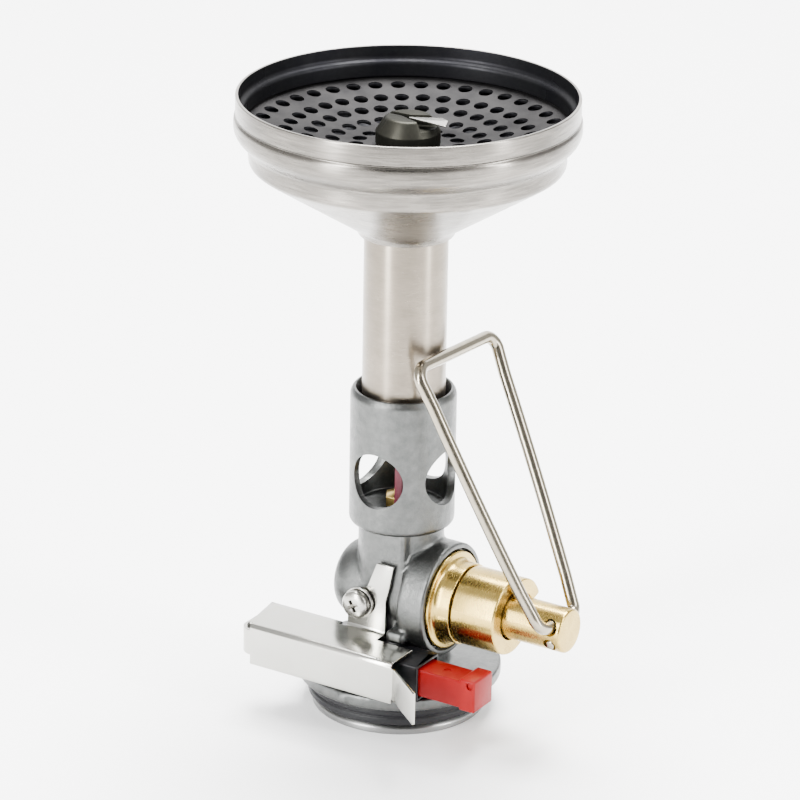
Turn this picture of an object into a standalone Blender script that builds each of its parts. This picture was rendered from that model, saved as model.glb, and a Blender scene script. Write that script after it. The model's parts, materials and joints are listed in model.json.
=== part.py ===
"""Compact canister stove: burner head, cast valve body, brass regulator with a folding
wire handle, piezo igniter behind a heat shield, and the ring that screws on a canister.

Metres, +Z up.  The origin is on the burner's axis at the bottom of the connector ring.
+X runs along the valve towards the wire handle, and -Y is the igniter's side.
"""
from math import cos, radians, sin, sqrt, tau

import bmesh
import bpy
from mathutils import Matrix, Vector

GAP = 0.3e-3            # between pieces that touch
THIN = 0.4e-3           # sheet of the heat shield and of the strip
STEPS = 36              # sides of a large round piece
FINE = 16               # sides of a small round piece
WIDE = 40               # sides of the burner head

# connector ring and its seal
RING_R = 12.3e-3
RING_TOP_R = 11.75e-3
RING_H = 1.35e-3
THREAD_R = 5.4e-3       # bore that takes the canister's threaded valve
THREAD_WALL = 0.8e-3
THREAD_TOP = 7.9e-3
CONNECTOR_TOP = 8.6e-3
PAD_R = 12.9e-3         # rubber ring under the cast flange
SEAL_R = 3.0e-3
SEAL_THICK_R = 0.7e-3
PIN_R = 0.9e-3
PIN_BOTTOM = 3.6e-3
PIN_HEAD_R = 2.2e-3
PIN_HEAD_H = 0.4e-3
FILTER_R = 2.4e-3
FILTER_H = 0.8e-3

# cast valve body
FLANGE_R = 14.4e-3
FLANGE_Z = 4.5e-3
FLANGE_H = 1.9e-3
FOOT_R = THREAD_R + THREAD_WALL + GAP + 0.6e-3
FOOT_TOP = 11.0e-3
WAIST_R = 5.9e-3
WAIST_Z = 12.1e-3
NECK_R = 6.0e-3
TUBE_R = 5.77e-3
COLLAR_R = TUBE_R + 1.6e-3
COLLAR_Z = 27.5e-3
COLLAR_TOP = 47.4e-3
CHAMBER_R = TUBE_R + 0.53e-3
CHAMBER_Z = 29.5e-3
AIR_HOLE_R = 4.0e-3
AIR_HOLE_Z = 35.5e-3
VALVE_Z = 17.3e-3       # height of the valve's axis
SPINDLE_R = 3.13e-3
SPRING_BORE = SPINDLE_R + 0.47e-3
SLEEVE_R = SPRING_BORE + 1.7e-3     # threaded part of the bonnet inside the boss
BONNET_R = SLEEVE_R + 0.45e-3
HOUSING_R = BONNET_R - 0.17e-3
LIP_R = BONNET_R + 1.22e-3
BARREL_R = SLEEVE_R + 0.8e-3
BARREL_BACK = -4.0e-3
DOME_LENGTH = 4.7e-3
BOSS_R = LIP_R + 1.13e-3
BOSS_BACK = 4.2e-3
BOSS_FACE = 8.5e-3
DUCT_PAD = (-0.7e-3, 4.1e-3)
DUCT_PAD_Y = -6.0e-3
LUG_X = 3.5e-3
LUG_SIZE = (1.6e-3, 5.1e-3, 1.4e-3)
LUG_Z = 13.2e-3
LUG_FRONT = -8.1e-3

# gas passages and what sits in them
GAS_R = 0.9e-3
CELL_R = 2.2e-3         # small chamber that the poppet works in
CELL_BACK = -4.5e-3
CELL_FRONT = 3.5e-3
SEAT_X = -1.6e-3
SEAT_H = 0.7e-3
STEM_R = 0.45e-3
POPPET_R = 1.3e-3
JET_R = 1.9e-3
JET_BOTTOM = 25.3e-3
JET_TOP = 32.6e-3
JET_HEX_R = 2.5e-3

# brass regulator on the valve's axis
LIP_H = 0.9e-3
BONNET_FRONT = 11.3e-3
HOUSING_FRONT = 18.4e-3
STOP_FRONT = 19.5e-3
STOP_FROM = radians(20)
STOP_SWEEP = radians(80)
DIAPHRAGM_X = 4.1e-3
DIAPHRAGM_H = 0.5e-3
PLATE_BOSS_R = 1.4e-3    # boss on the diaphragm plate that centres the spring
PLATE_DISC_H = 0.8e-3
SLEEVE_WALL = 0.8e-3
HOUSING_WALL = 1.2e-3
HOUSING_REACH = 3.0e-3   # of its screwed part into the bonnet
COIL_MID_R = 2.5e-3
COIL_BAR_R = 0.35e-3
COIL_END = 0.6e-3        # room for the coil at each end
SEAT_DISC_H = 1.1e-3
SPINDLE_BACK = 14.6e-3
SPINDLE_FRONT = 27.45e-3
PIVOT_X = 25.8e-3
PIVOT_RISE = 1.1e-3     # of the handle's hole above the valve's axis
PIN_HOLE_DROP = 1.5e-3
PIN_HOLE_X = 25.8e-3

# folding wire handle
WIRE_R = 0.875e-3
WIRE_PLAY = 0.15e-3
BAR_CLEAR = 0.355e-3    # between the parked bar and the mixing tube
BAR_X = TUBE_R + WIRE_R + BAR_CLEAR
BAR_Z = 53.4e-3
BAR_HALF = 10.0e-3
LEG_FRONT = 5.6e-3      # half widths at the pivot, in front of the spindle and behind it
LEG_BACK = 4.45e-3
HOOK_REACH = 3.15e-3    # straight part of each hook, just past the spindle's side
HANDLE_TILT = radians(3)
CORNER_R = 2.0e-3
LEG_BOW = 0.35e-3       # how far the legs swell outward at mid height

# mixing tube and burner head, whose heights follow the tube's top
TUBE_WALL = 0.45e-3
TUBE_BOTTOM = 40.9e-3
TUBE_TOP = 71.2e-3
BOWL_WALL = 0.5e-3
BOWL_Z = TUBE_TOP - 1.4e-3
CONE_TOP = BOWL_Z + 9.45e-3
BULGE_R = 23.5e-3
BAND_R = BULGE_R - 2.0e-3    # narrow band under the bulge
CONE_R = BAND_R - 1.2e-3
BAND_TOP = BOWL_Z + 12.5e-3
SHOULDER_TOP = BOWL_Z + 14.7e-3
BULGE_Z = BOWL_Z + 15.2e-3
BOWL_TOP = BOWL_Z + 16.8e-3
RIM_R = BULGE_R - 0.25e-3
RIM_WALL = 0.45e-3
RIM_TOP = BOWL_Z + 19.5e-3
PLATE_Z = BOWL_Z + 12.4e-3
PLATE_FLAT_R = 9.0e-3
PLATE_RISE = 2.65e-3
PLATE_H = 0.5e-3
PORT_R = 0.9e-3
PORT_RINGS = (          # radius, number of ports and the first port's place in its step
    (7.0e-3, 18, 0.5), (10.3e-3, 24, 0.5), (13.5e-3, 30, 0.5), (16.6e-3, 36, 0.5),
    (20.2e-3, 40, 0.0))
CAP_R = 4.4e-3
CAP_TOP_R = 3.06e-3
CAP_SKIRT = 1.75e-3
CAP_H = 3.8e-3
CERAMIC_R = 1.3e-3
CERAMIC_BOTTOM = BOWL_Z + 6.2e-3
ELECTRODE_R = 0.45e-3

# piezo igniter and its lead
CASE_DEPTH = 4.8e-3
CASE_LOW = (-14.0e-3, -(FOOT_R + GAP + CASE_DEPTH), FLANGE_Z + FLANGE_H + GAP)
CASE_HIGH = (10.4e-3, -(FOOT_R + GAP), 12.1e-3)
CASE_WALL = 0.45e-3
CASE_FLOOR = 0.4e-3
CASE_BACK = 1.2e-3
CASE_EASE = 0.25e-3
MOUTH_X = 4.4e-3        # from here the case is wider, for the button
MOUTH_CLEAR = 0.18e-3   # between the mouth and the boss above it
MOUTH_BACK = -max(FOOT_R - 0.7e-3,
                  sqrt(BOSS_R ** 2 - (VALVE_Z - CASE_HIGH[2]) ** 2) + MOUTH_CLEAR)
BUTTON_FRONT = 19.2e-3
BUTTON_BACK = 4.6e-3
BUTTON_PLAY = 0.3e-3
BUTTON_TRAVEL = 4.0e-3
BUTTON_CAP = 2.5e-3
BUTTON_CAP_PROUD = 0.35e-3
BUTTON_CAP_BACK = MOUTH_BACK - 0.1e-3
COIL_R = 1.15e-3
COIL_WIRE_R = 0.2e-3
HAMMER_R = 1.3e-3
HAMMER_LENGTH = 2.3e-3
SPRING_ROOM = 7.0e-3
CRYSTAL_R = 1.3e-3
LEAD_R = 0.8e-3
DUCT_R = 1.1e-3
LEAD_ROUTE = (
    (2.0e-3, -7.05e-3, 10.4e-3), (2.0e-3, -6.2e-3, 10.4e-3), (2.0e-3, -5.2e-3, 10.8e-3),
    (2.0e-3, -4.5e-3, 11.9e-3), (2.0e-3, -4.2e-3, 13.8e-3), (2.0e-3, -4.2e-3, 19.0e-3),
    (2.1e-3, -4.1e-3, 26.0e-3), (2.1e-3, -3.9e-3, 33.0e-3), (2.1e-3, -3.8e-3, 45.0e-3),
    (2.1e-3, -3.8e-3, 60.0e-3), (1.4e-3, -2.6e-3, 67.0e-3), (0.2e-3, -0.4e-3, 73.0e-3),
    (0.0, 0.0, 75.7e-3))

# heat shield with its strip, screw and washer
SHIELD_X = (-16.2e-3, 7.65e-3)
SHIELD_SKEW = 1.2e-3    # how much further left the top plate reaches at its back
SHIELD_Y = CASE_LOW[1] - 2.3e-3
SHIELD_TOP = CASE_HIGH[2] + GAP + THIN
SHIELD_BOTTOM = CASE_LOW[2]
SHIELD_RIGHT_BACK = -9.0e-3
NOTCH_X = -5.4e-3
NOTCH_DEPTH = 0.9e-3
STRIP_X = (-4.4e-3, 1.8e-3)
STRIP_TAPER_Z = 17.8e-3
STRIP_TIP_X = (0.3e-3, 3.0e-3)
STRIP_TOP = 23.2e-3
END_X = -15.7e-3        # where the front plate starts to bend round to its end flange
END_BEND_R = 2.0e-3
END_BACK = -10.0e-3
END_BOTTOM = 8.1e-3
FLAP_LENGTH = 8.3e-3
FLAP_BOTTOM = 7.4e-3
FLAP_ANGLE = radians(38)
SCREW_X = -2.2e-3
SCREW_Z = 16.9e-3
SCREW_R = 1.0e-3
SCREW_HEAD_R = 2.05e-3
SCREW_HEAD_H = 1.3e-3
WASHER_H = 0.4e-3

STAINLESS = ("stainless", (0.62, 0.60, 0.57), 0.32, 1.0)
DARK_STEEL = ("dark_steel", (0.10, 0.10, 0.11), 0.55, 0.8)
CAST_METAL = ("cast_metal", (0.40, 0.41, 0.41), 0.55, 0.9)
BRASS = ("brass", (0.78, 0.62, 0.30), 0.28, 1.0)
RUBBER = ("rubber", (0.03, 0.03, 0.03), 0.8, 0.0)
BLACK_PLASTIC = ("black_plastic", (0.02, 0.02, 0.02), 0.5, 0.0)
RED_PLASTIC = ("red_plastic", (0.70, 0.04, 0.04), 0.45, 0.0)
CERAMIC = ("ceramic", (0.80, 0.78, 0.72), 0.4, 0.0)
SLEEVING = ("sleeving", (0.62, 0.16, 0.18), 0.5, 0.0)
WIRE = ("wire", (0.66, 0.63, 0.58), 0.16, 1.0)

VALVE_AXIS = Matrix.Translation((0, 0, VALVE_Z)) @ Matrix.Rotation(radians(90), 4, "Y")
IGNITER_MID = Vector((0, (CASE_LOW[1] + CASE_HIGH[1]) / 2, (CASE_LOW[2] + CASE_HIGH[2]) / 2))
IGNITER_AXIS = Matrix.Translation(IGNITER_MID) @ Matrix.Rotation(radians(90), 4, "Y")
PIVOT = Vector((PIVOT_X, 0, VALVE_Z + PIVOT_RISE))


def clear_scene():
    """Remove every object of the open scene."""
    for item in list(bpy.data.objects):
        bpy.data.objects.remove(item, do_unlink=True)


def material(finish):
    """Return the Principled material of a finish, made once for each name and piece."""
    name, colour, roughness, metallic = finish
    made = bpy.data.materials.new(name)
    made.use_nodes = True
    shader = made.node_tree.nodes["Principled BSDF"]
    shader.inputs["Base Color"].default_value = (*colour, 1.0)
    shader.inputs["Roughness"].default_value = roughness
    shader.inputs["Metallic"].default_value = metallic
    made.diffuse_color = (*colour, 1.0)
    return made


def finish_mesh(name, bm, finish, origin=(0, 0, 0)):
    """Link a bmesh as a smooth-shaded object whose origin is at the given point."""
    bmesh.ops.remove_doubles(bm, verts=bm.verts, dist=1e-7)
    bmesh.ops.recalc_face_normals(bm, faces=bm.faces)
    bmesh.ops.translate(bm, verts=bm.verts, vec=-Vector(origin))
    mesh = bpy.data.meshes.new(name)
    bm.to_mesh(mesh)
    bm.free()
    mesh.shade_smooth()
    mesh.set_sharp_from_angle(angle=radians(35))
    item = bpy.data.objects.new(name, mesh)
    item.location = origin
    if finish:
        mesh.materials.append(material(finish))
    bpy.context.collection.objects.link(item)
    return item


def turned(name, outline, finish=None, place=Matrix(), steps=STEPS, origin=(0, 0, 0)):
    """Spin an outline of (radius, height) points about the height axis.

    An outline that starts and ends at radius 0 is a solid, and any other closes on itself.
    """
    bm = bmesh.new()
    points = [bm.verts.new((radius, 0, height)) for radius, height in outline]
    edges = [bm.edges.new(pair) for pair in zip(points, points[1:])]
    if outline[0][0] > 0:
        edges.append(bm.edges.new((points[-1], points[0])))
    bmesh.ops.spin(bm, geom=points + edges, cent=(0, 0, 0), axis=(0, 0, 1), angle=tau,
                   steps=steps, use_merge=True)
    bmesh.ops.transform(bm, matrix=place, verts=bm.verts)
    return finish_mesh(name, bm, finish, origin)


def rod(name, radius, low, high, finish=None, place=Matrix(), steps=FINE, origin=(0, 0, 0)):
    """Make a plain cylinder between two heights."""
    outline = [(0, low), (radius, low), (radius, high), (0, high)]
    return turned(name, outline, finish, place, steps, origin)


def ring(name, inner, outer, low, high, finish=None, place=Matrix(), steps=STEPS):
    """Make a flat ring between two heights."""
    outline = [(inner, low), (outer, low), (outer, high), (inner, high)]
    return turned(name, outline, finish, place, steps)


def box(name, low, high, finish=None, bevel=0, origin=(0, 0, 0)):
    """Make a box from its lowest and highest corners, with its edges eased."""
    bm = bmesh.new()
    bmesh.ops.create_cube(bm, size=1)
    low, high = Vector(low), Vector(high)
    bmesh.ops.scale(bm, vec=high - low, verts=bm.verts)
    bmesh.ops.translate(bm, vec=(low + high) / 2, verts=bm.verts)
    if bevel:
        bmesh.ops.bevel(bm, geom=bm.edges, offset=bevel, segments=1, profile=0.5,
                        affect="EDGES", material=-1)
    return finish_mesh(name, bm, finish, origin)


def prism(name, outline, low, high, finish=None, place=Matrix()):
    """Extrude a flat outline of (x, y) points between two heights."""
    bm = bmesh.new()
    face = bm.faces.new([bm.verts.new((x, y, low)) for x, y in outline])
    made = bmesh.ops.extrude_face_region(bm, geom=[face])
    moved = [item for item in made["geom"] if isinstance(item, bmesh.types.BMVert)]
    bmesh.ops.translate(bm, vec=(0, 0, high - low), verts=moved)
    bmesh.ops.transform(bm, matrix=place, verts=bm.verts)
    return finish_mesh(name, bm, finish)


def tube_along(name, points, radius, finish=None, sides=4, origin=(0, 0, 0)):
    """Make a round bar along a list of points, as a POLY curve with filled caps."""
    curve = bpy.data.curves.new(name, "CURVE")
    curve.dimensions = "3D"
    curve.bevel_depth = radius
    curve.bevel_resolution = sides
    curve.use_fill_caps = True
    spline = curve.splines.new("POLY")
    spline.points.add(len(points) - 1)
    for point, place in zip(spline.points, points):
        point.co = (*(Vector(place) - Vector(origin)), 1)
    if finish:
        curve.materials.append(material(finish))
    item = bpy.data.objects.new(name, curve)
    item.location = origin
    bpy.context.collection.objects.link(item)
    return item


def as_mesh(item):
    """Swap a curve object for a mesh of the same shape, so that it can cut."""
    bm = bmesh.new()
    bm.from_mesh(item.to_mesh())
    name = item.name
    bpy.data.objects.remove(item)
    return finish_mesh(name, bm, None)


def smooth_route(points, spacing):
    """Read points at a spacing from the Catmull-Rom curve through a route."""
    points = [Vector(p) for p in points]
    ends = [2 * points[0] - points[1]] + points + [2 * points[-1] - points[-2]]
    route = [points[0]]
    for a, b, c, d in zip(ends, ends[1:], ends[2:], ends[3:]):
        count = max(1, round((c - b).length / spacing))
        for step in range(1, count + 1):
            t = step / count
            route.append(0.5 * (2 * b + (c - a) * t + (2 * a - 5 * b + 4 * c - d) * t ** 2
                                + (3 * b - a - 3 * c + d) * t ** 3))
    return route


def helix(radius, low, high, turns, per_turn=10):
    """Return the points of a coil about the height axis."""
    count = turns * per_turn
    return [Vector((radius * cos(tau * i / per_turn), radius * sin(tau * i / per_turn),
                    low + (high - low) * i / count)) for i in range(count + 1)]


def combine(item, tool, operation):
    """Cut a tool from an item, or join it on, and keep the tool out of the model."""
    change = item.modifiers.new(tool.name, "BOOLEAN")
    change.operation = operation
    change.solver = "EXACT"
    change.object = tool
    tool.hide_render = True
    tool.display_type = "WIRE"


def cut(item, *tools):
    """Cut every tool from an item."""
    for tool in tools:
        combine(item, tool, "DIFFERENCE")


def join(item, *tools):
    """Join every tool to an item as one solid."""
    for tool in tools:
        combine(item, tool, "UNION")


def arc(centre, radius, start, end, count):
    """Return points on an arc in a plane."""
    return [(centre[0] + radius * cos(start + (end - start) * i / count),
             centre[1] + radius * sin(start + (end - start) * i / count))
            for i in range(count + 1)]


def along_y(x, z):
    """Return the placement that lays the height axis along -Y at x, z."""
    return Matrix.Translation((x, 0, z)) @ Matrix.Rotation(radians(90), 4, "X")


def base_pieces():
    """Make the connector ring, its seals, the pin that opens the canister and the filter."""
    wall_r = THREAD_R + THREAD_WALL
    pin_hole = PIN_R + GAP
    turned("canister_connector", [
        (THREAD_R, 0), (RING_R - 0.2e-3, 0), (RING_R, 0.25e-3), (RING_R, RING_H - 0.5e-3),
        (RING_TOP_R, RING_H), (wall_r, RING_H), (wall_r, CONNECTOR_TOP),
        (pin_hole, CONNECTOR_TOP), (pin_hole, THREAD_TOP), (THREAD_R, THREAD_TOP)], CAST_METAL)
    pad_low, pad_high = RING_H + GAP, FLANGE_Z - GAP
    groove = (pad_low + pad_high) / 2
    turned("rubber_ring", [
        (wall_r + GAP, pad_low), (PAD_R - 0.3e-3, pad_low), (PAD_R, pad_low + 0.3e-3),
        (PAD_R, groove - 0.2e-3), (PAD_R - 0.25e-3, groove), (PAD_R, groove + 0.2e-3),
        (PAD_R, pad_high - 0.3e-3), (PAD_R - 0.3e-3, pad_high), (wall_r + GAP, pad_high)],
        RUBBER)
    seal_z = THREAD_TOP - GAP - SEAL_THICK_R
    seal = [(SEAL_R + x, seal_z + z) for x, z in arc((0, 0), SEAL_THICK_R, 0, tau, 8)[:-1]]
    turned("canister_seal", seal, RUBBER, steps=FINE)
    head = CONNECTOR_TOP + GAP
    turned("canister_pin", [
        (0, PIN_BOTTOM), (PIN_R, PIN_BOTTOM), (PIN_R, head), (PIN_HEAD_R, head),
        (PIN_HEAD_R, head + PIN_HEAD_H), (0, head + PIN_HEAD_H)], BRASS, steps=FINE)
    filter_z = head + PIN_HEAD_H + GAP
    rod("inlet_filter", FILTER_R, filter_z, filter_z + FILTER_H, BRASS)


def dome_outline():
    """Return the barrel's outline from the tip of its rear dome to the boss's face."""
    quarter = arc((0, 0), 1, radians(-90), 0, 6)
    dome = [(BARREL_R * x, BARREL_BACK + DOME_LENGTH * y) for x, y in quarter]
    dome[0] = (0, BARREL_BACK - DOME_LENGTH)
    ease = 0.4e-3
    return dome + [
        (BARREL_R, BOSS_BACK), (BOSS_R - ease, BOSS_BACK), (BOSS_R, BOSS_BACK + ease),
        (BOSS_R, BOSS_FACE - 0.25e-3), (BOSS_R - 0.25e-3, BOSS_FACE), (0, BOSS_FACE)]


def valve_body():
    """Make the casting: flange, foot, barrel, boss, neck and the collar with air holes."""
    socket_r = THREAD_R + THREAD_WALL + GAP
    filter_r = FILTER_R + GAP
    filter_top = CONNECTOR_TOP + GAP + PIN_HEAD_H + 2 * GAP + FILTER_H
    land_r = TUBE_R + GAP
    land_z = TUBE_BOTTOM - GAP
    flange_top = FLANGE_Z + FLANGE_H
    ease = 0.7e-3
    body = turned("valve_body", [
        (0, CHAMBER_Z), (CHAMBER_R, CHAMBER_Z), (CHAMBER_R, land_z), (land_r, land_z),
        (land_r, COLLAR_TOP - 1.2e-3), (COLLAR_R - ease - 0.1e-3, COLLAR_TOP),
        (COLLAR_R - ease, COLLAR_TOP), (COLLAR_R - 0.2e-3, COLLAR_TOP - 0.2e-3),
        (COLLAR_R, COLLAR_TOP - ease), (COLLAR_R, COLLAR_Z + 1.0e-3),
        (COLLAR_R - 0.3e-3, COLLAR_Z + 0.3e-3), (COLLAR_R - 1.0e-3, COLLAR_Z),
        (NECK_R, COLLAR_Z), (NECK_R, VALVE_Z), (WAIST_R, WAIST_Z), (FOOT_R, FOOT_TOP),
        (FOOT_R, flange_top), (FLANGE_R - 0.3e-3, flange_top),
        (FLANGE_R, flange_top - 0.3e-3), (FLANGE_R, FLANGE_Z + 0.3e-3),
        (FLANGE_R - 0.3e-3, FLANGE_Z), (socket_r, FLANGE_Z),
        (socket_r, CONNECTOR_TOP + GAP), (filter_r, CONNECTOR_TOP + GAP),
        (filter_r, filter_top), (0, filter_top)], CAST_METAL)
    barrel = turned("barrel_tool", dome_outline(), place=VALVE_AXIS, steps=32)
    pad = box("duct_pad_tool", (DUCT_PAD[0], DUCT_PAD_Y, VALVE_Z),
              (DUCT_PAD[1], 0, COLLAR_Z + 1.0e-3))
    lug = box("lug_tool", (LUG_X - LUG_SIZE[0] / 2, LUG_FRONT, LUG_Z - LUG_SIZE[2] / 2),
              (LUG_X + LUG_SIZE[0] / 2, LUG_FRONT + LUG_SIZE[1], LUG_Z + LUG_SIZE[2] / 2))
    join(body, barrel, pad, lug)
    lip_r = LIP_R + GAP
    sleeve_r = SLEEVE_R + GAP
    lip_floor = BOSS_FACE - LIP_H - GAP
    bore = turned("barrel_bore", [
        (0, CELL_BACK), (CELL_R, CELL_BACK), (CELL_R, CELL_FRONT), (sleeve_r, CELL_FRONT),
        (sleeve_r, lip_floor), (lip_r, lip_floor), (lip_r, BOSS_FACE + GAP),
        (0, BOSS_FACE + GAP)], place=VALVE_AXIS, steps=32)
    inlet = rod("inlet_tool", GAS_R, filter_top - GAP, VALVE_Z, steps=12,
                place=Matrix.Translation((-(FILTER_R - GAS_R / 2), 0, 0)))
    outlet = rod("outlet_tool", GAS_R, VALVE_Z, CHAMBER_Z, steps=12)
    jet = rod("jet_tool", JET_R + GAP, JET_BOTTOM - GAP, CHAMBER_Z + GAP)
    reach = 2 * COLLAR_R
    air_x = rod("air_x_tool", AIR_HOLE_R, -reach, reach, steps=20,
                place=Matrix.Translation((0, 0, AIR_HOLE_Z)) @ Matrix.Rotation(radians(90), 4, "Y"))
    air_y = rod("air_y_tool", AIR_HOLE_R, -reach, reach, steps=20,
                place=along_y(0, AIR_HOLE_Z))
    duct = as_mesh(tube_along("duct_tool", duct_points(), DUCT_R, sides=1))
    screw = rod("screw_tool", SCREW_R + GAP, CELL_R + 0.6e-3, FOOT_R,
                place=along_y(SCREW_X, SCREW_Z), steps=12)
    socket = rod("socket_tool", socket_r, CONNECTOR_TOP - socket_r, CONNECTOR_TOP + GAP)
    cut(body, bore, socket, inlet, outlet, jet, air_x, air_y, duct, screw)


def duct_points():
    """Return the lead's own route, run on at its start, up to the mixing chamber."""
    start = Vector(LEAD_ROUTE[0]) + Vector((0, -1.5e-3, 0))
    inside = [p for p in LEAD_ROUTE if p[2] <= AIR_HOLE_Z]
    return smooth_route([start, *inside], 2.5 * DUCT_R)


def gas_pieces():
    """Make the jet, the poppet with its seat, the diaphragm and its plate."""
    hexagon = turned("jet_nozzle", [
        (0, JET_BOTTOM), (JET_R, JET_BOTTOM), (JET_R, CHAMBER_Z + GAP),
        (JET_HEX_R, CHAMBER_Z + GAP), (JET_HEX_R, JET_TOP - 1.2e-3),
        (JET_R / 2, JET_TOP), (0, JET_TOP)], BRASS, steps=12)
    cut(hexagon, rod("jet_bore_tool", JET_R / 2, JET_BOTTOM - GAP, JET_TOP - 1.0e-3, steps=12))
    ring("valve_seat", STEM_R + GAP, CELL_R - GAP, SEAT_X, SEAT_X + SEAT_H, RUBBER,
         VALVE_AXIS, FINE)
    plate_x = DIAPHRAGM_X + DIAPHRAGM_H + GAP
    disc_top = plate_x + PLATE_DISC_H
    turned("poppet", [
        (0, SEAT_X - GAP - 1.2e-3), (POPPET_R, SEAT_X - GAP - 1.2e-3),
        (POPPET_R, SEAT_X - GAP), (STEM_R, SEAT_X - GAP), (STEM_R, DIAPHRAGM_X - GAP),
        (0, DIAPHRAGM_X - GAP)], BRASS, VALVE_AXIS, 12)
    rod("diaphragm", SLEEVE_R, DIAPHRAGM_X, DIAPHRAGM_X + DIAPHRAGM_H, RUBBER, VALVE_AXIS, 32)
    turned("diaphragm_plate", [
        (0, plate_x), (SPRING_BORE - GAP, plate_x), (SPRING_BORE - GAP, disc_top),
        (PLATE_BOSS_R, disc_top), (PLATE_BOSS_R, disc_top + 1.0e-3), (0, disc_top + 1.0e-3)],
        BRASS, VALVE_AXIS, 24)


def regulator_pieces():
    """Make the brass bonnet, the spring housing with its stop, the spring and its seat."""
    sleeve_back = DIAPHRAGM_X + DIAPHRAGM_H + GAP
    lip_back = BOSS_FACE - LIP_H
    fillet = [(LIP_R - 0.3e-3 - x, BOSS_FACE + 1.2e-3 - z) for x, z in
              arc((0, 0), 1.0e-3, radians(90), 0, 4)]
    turned("bonnet_ring", [
        (SLEEVE_R - SLEEVE_WALL, sleeve_back), (SLEEVE_R, sleeve_back), (SLEEVE_R, lip_back),
        (LIP_R, lip_back), (LIP_R, BOSS_FACE), *fillet, (BONNET_R, BOSS_FACE + 1.6e-3),
        (BONNET_R, BONNET_FRONT), (SLEEVE_R - SLEEVE_WALL, BONNET_FRONT)], BRASS, VALVE_AXIS)
    screw_r = SLEEVE_R - SLEEVE_WALL - GAP
    bore_r = SPINDLE_R + GAP
    back = BONNET_FRONT + GAP
    housing = turned("spring_housing", [
        (SPRING_BORE, back - HOUSING_REACH), (screw_r, back - HOUSING_REACH), (screw_r, back),
        (HOUSING_R - 0.15e-3, back), (HOUSING_R, back + 0.15e-3),
        (HOUSING_R, HOUSING_FRONT - 0.45e-3), (HOUSING_R - 0.4e-3, HOUSING_FRONT),
        (bore_r, HOUSING_FRONT), (bore_r, HOUSING_FRONT - HOUSING_WALL),
        (SPRING_BORE, HOUSING_FRONT - HOUSING_WALL)], BRASS, VALVE_AXIS)
    join(housing, stop_lobe())
    coil_low = DIAPHRAGM_X + DIAPHRAGM_H + GAP + PLATE_DISC_H + COIL_END
    seat_back = SPINDLE_BACK - GAP - SEAT_DISC_H
    coil = helix(COIL_MID_R, coil_low, seat_back - COIL_END, 5)
    tube_along("regulator_spring", [VALVE_AXIS @ p for p in coil], COIL_BAR_R, WIRE, sides=1)
    rod("spring_seat", SPRING_BORE - GAP, seat_back, SPINDLE_BACK - GAP, BRASS, VALVE_AXIS, 24)


def stop_lobe():
    """Make the raised stop on the housing's end, a sector of a ring that runs along X."""
    inner, outer = SPINDLE_R + 0.45e-3, HOUSING_R
    low, high = HOUSING_FRONT - 0.6e-3, STOP_FRONT
    bm = bmesh.new()
    corners = ((inner, low), (outer, low), (outer, high - 0.4e-3), (outer - 0.4e-3, high),
               (inner, high))
    face = bm.faces.new([bm.verts.new((low_x, 0, height)) for low_x, height in corners])
    geom = [face, *face.edges, *face.verts]
    bmesh.ops.spin(bm, geom=geom, cent=(0, 0, 0), axis=(0, 0, 1), angle=STOP_SWEEP, steps=10)
    from_y = Matrix.Rotation(radians(90) + STOP_FROM, 4, "Z")
    bmesh.ops.transform(bm, matrix=VALVE_AXIS @ from_y, verts=bm.verts)
    return finish_mesh("stop_lobe_tool", bm, None)


def pivot_frame():
    """Return the placement whose height axis is the handle's pivot, pointing to its front."""
    turn = Matrix.Rotation(radians(90) - HANDLE_TILT, 4, "X")
    return Matrix.Translation(PIVOT) @ turn


def spindle_pieces():
    """Make the spindle with its two cross holes, and the short pin in the lower one."""
    ease = 0.35e-3
    axis_point = (0, 0, VALVE_Z)
    spindle = turned("spindle", [
        (0, SPINDLE_BACK), (SPINDLE_R + 0.17e-3, SPINDLE_BACK),
        (SPINDLE_R + 0.17e-3, HOUSING_FRONT - 1.5e-3), (SPINDLE_R, HOUSING_FRONT - 1.5e-3),
        (SPINDLE_R, SPINDLE_FRONT - ease), (SPINDLE_R - ease, SPINDLE_FRONT),
        (0, SPINDLE_FRONT)], BRASS, VALVE_AXIS, 36, axis_point)
    reach = 2 * SPINDLE_R
    hinge = rod("hinge_tool", WIRE_R + WIRE_PLAY, -reach, reach, place=pivot_frame(), steps=16)
    hole_place = along_y(PIN_HOLE_X, VALVE_Z - PIN_HOLE_DROP)
    pin_hole = rod("pin_hole_tool", 0.95e-3, 0.8e-3, reach, place=hole_place, steps=16)
    cut(spindle, hinge, pin_hole)
    rod("spindle_pin", 0.65e-3, 1.1e-3, 2.7e-3, WIRE, hole_place, 12, axis_point)


def leg_outline(leg_half, length):
    """Return one half of the handle, across and up, from its hook's end to its bar."""
    hook_end = sqrt(SPINDLE_R ** 2 - (PIVOT_RISE + WIRE_R) ** 2) * 0.45
    bend = leg_half - HOOK_REACH
    half = [(hook_end, 0)]
    for step in range(5):
        angle = radians(22.5) * step
        half.append((HOOK_REACH + bend * sin(angle), bend - bend * cos(angle)))
    slope = (BAR_HALF - leg_half) / length
    for step in range(1, 4):
        rise = bend + (length - CORNER_R - bend) * step / 4
        half.append((leg_half + slope * rise + LEG_BOW * sin(step / 4 * tau / 2), rise))
    for step in range(6):
        angle = radians(18) * step
        half.append((BAR_HALF - CORNER_R + CORNER_R * cos(angle),
                     length - CORNER_R + CORNER_R * sin(angle)))
    return half


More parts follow.
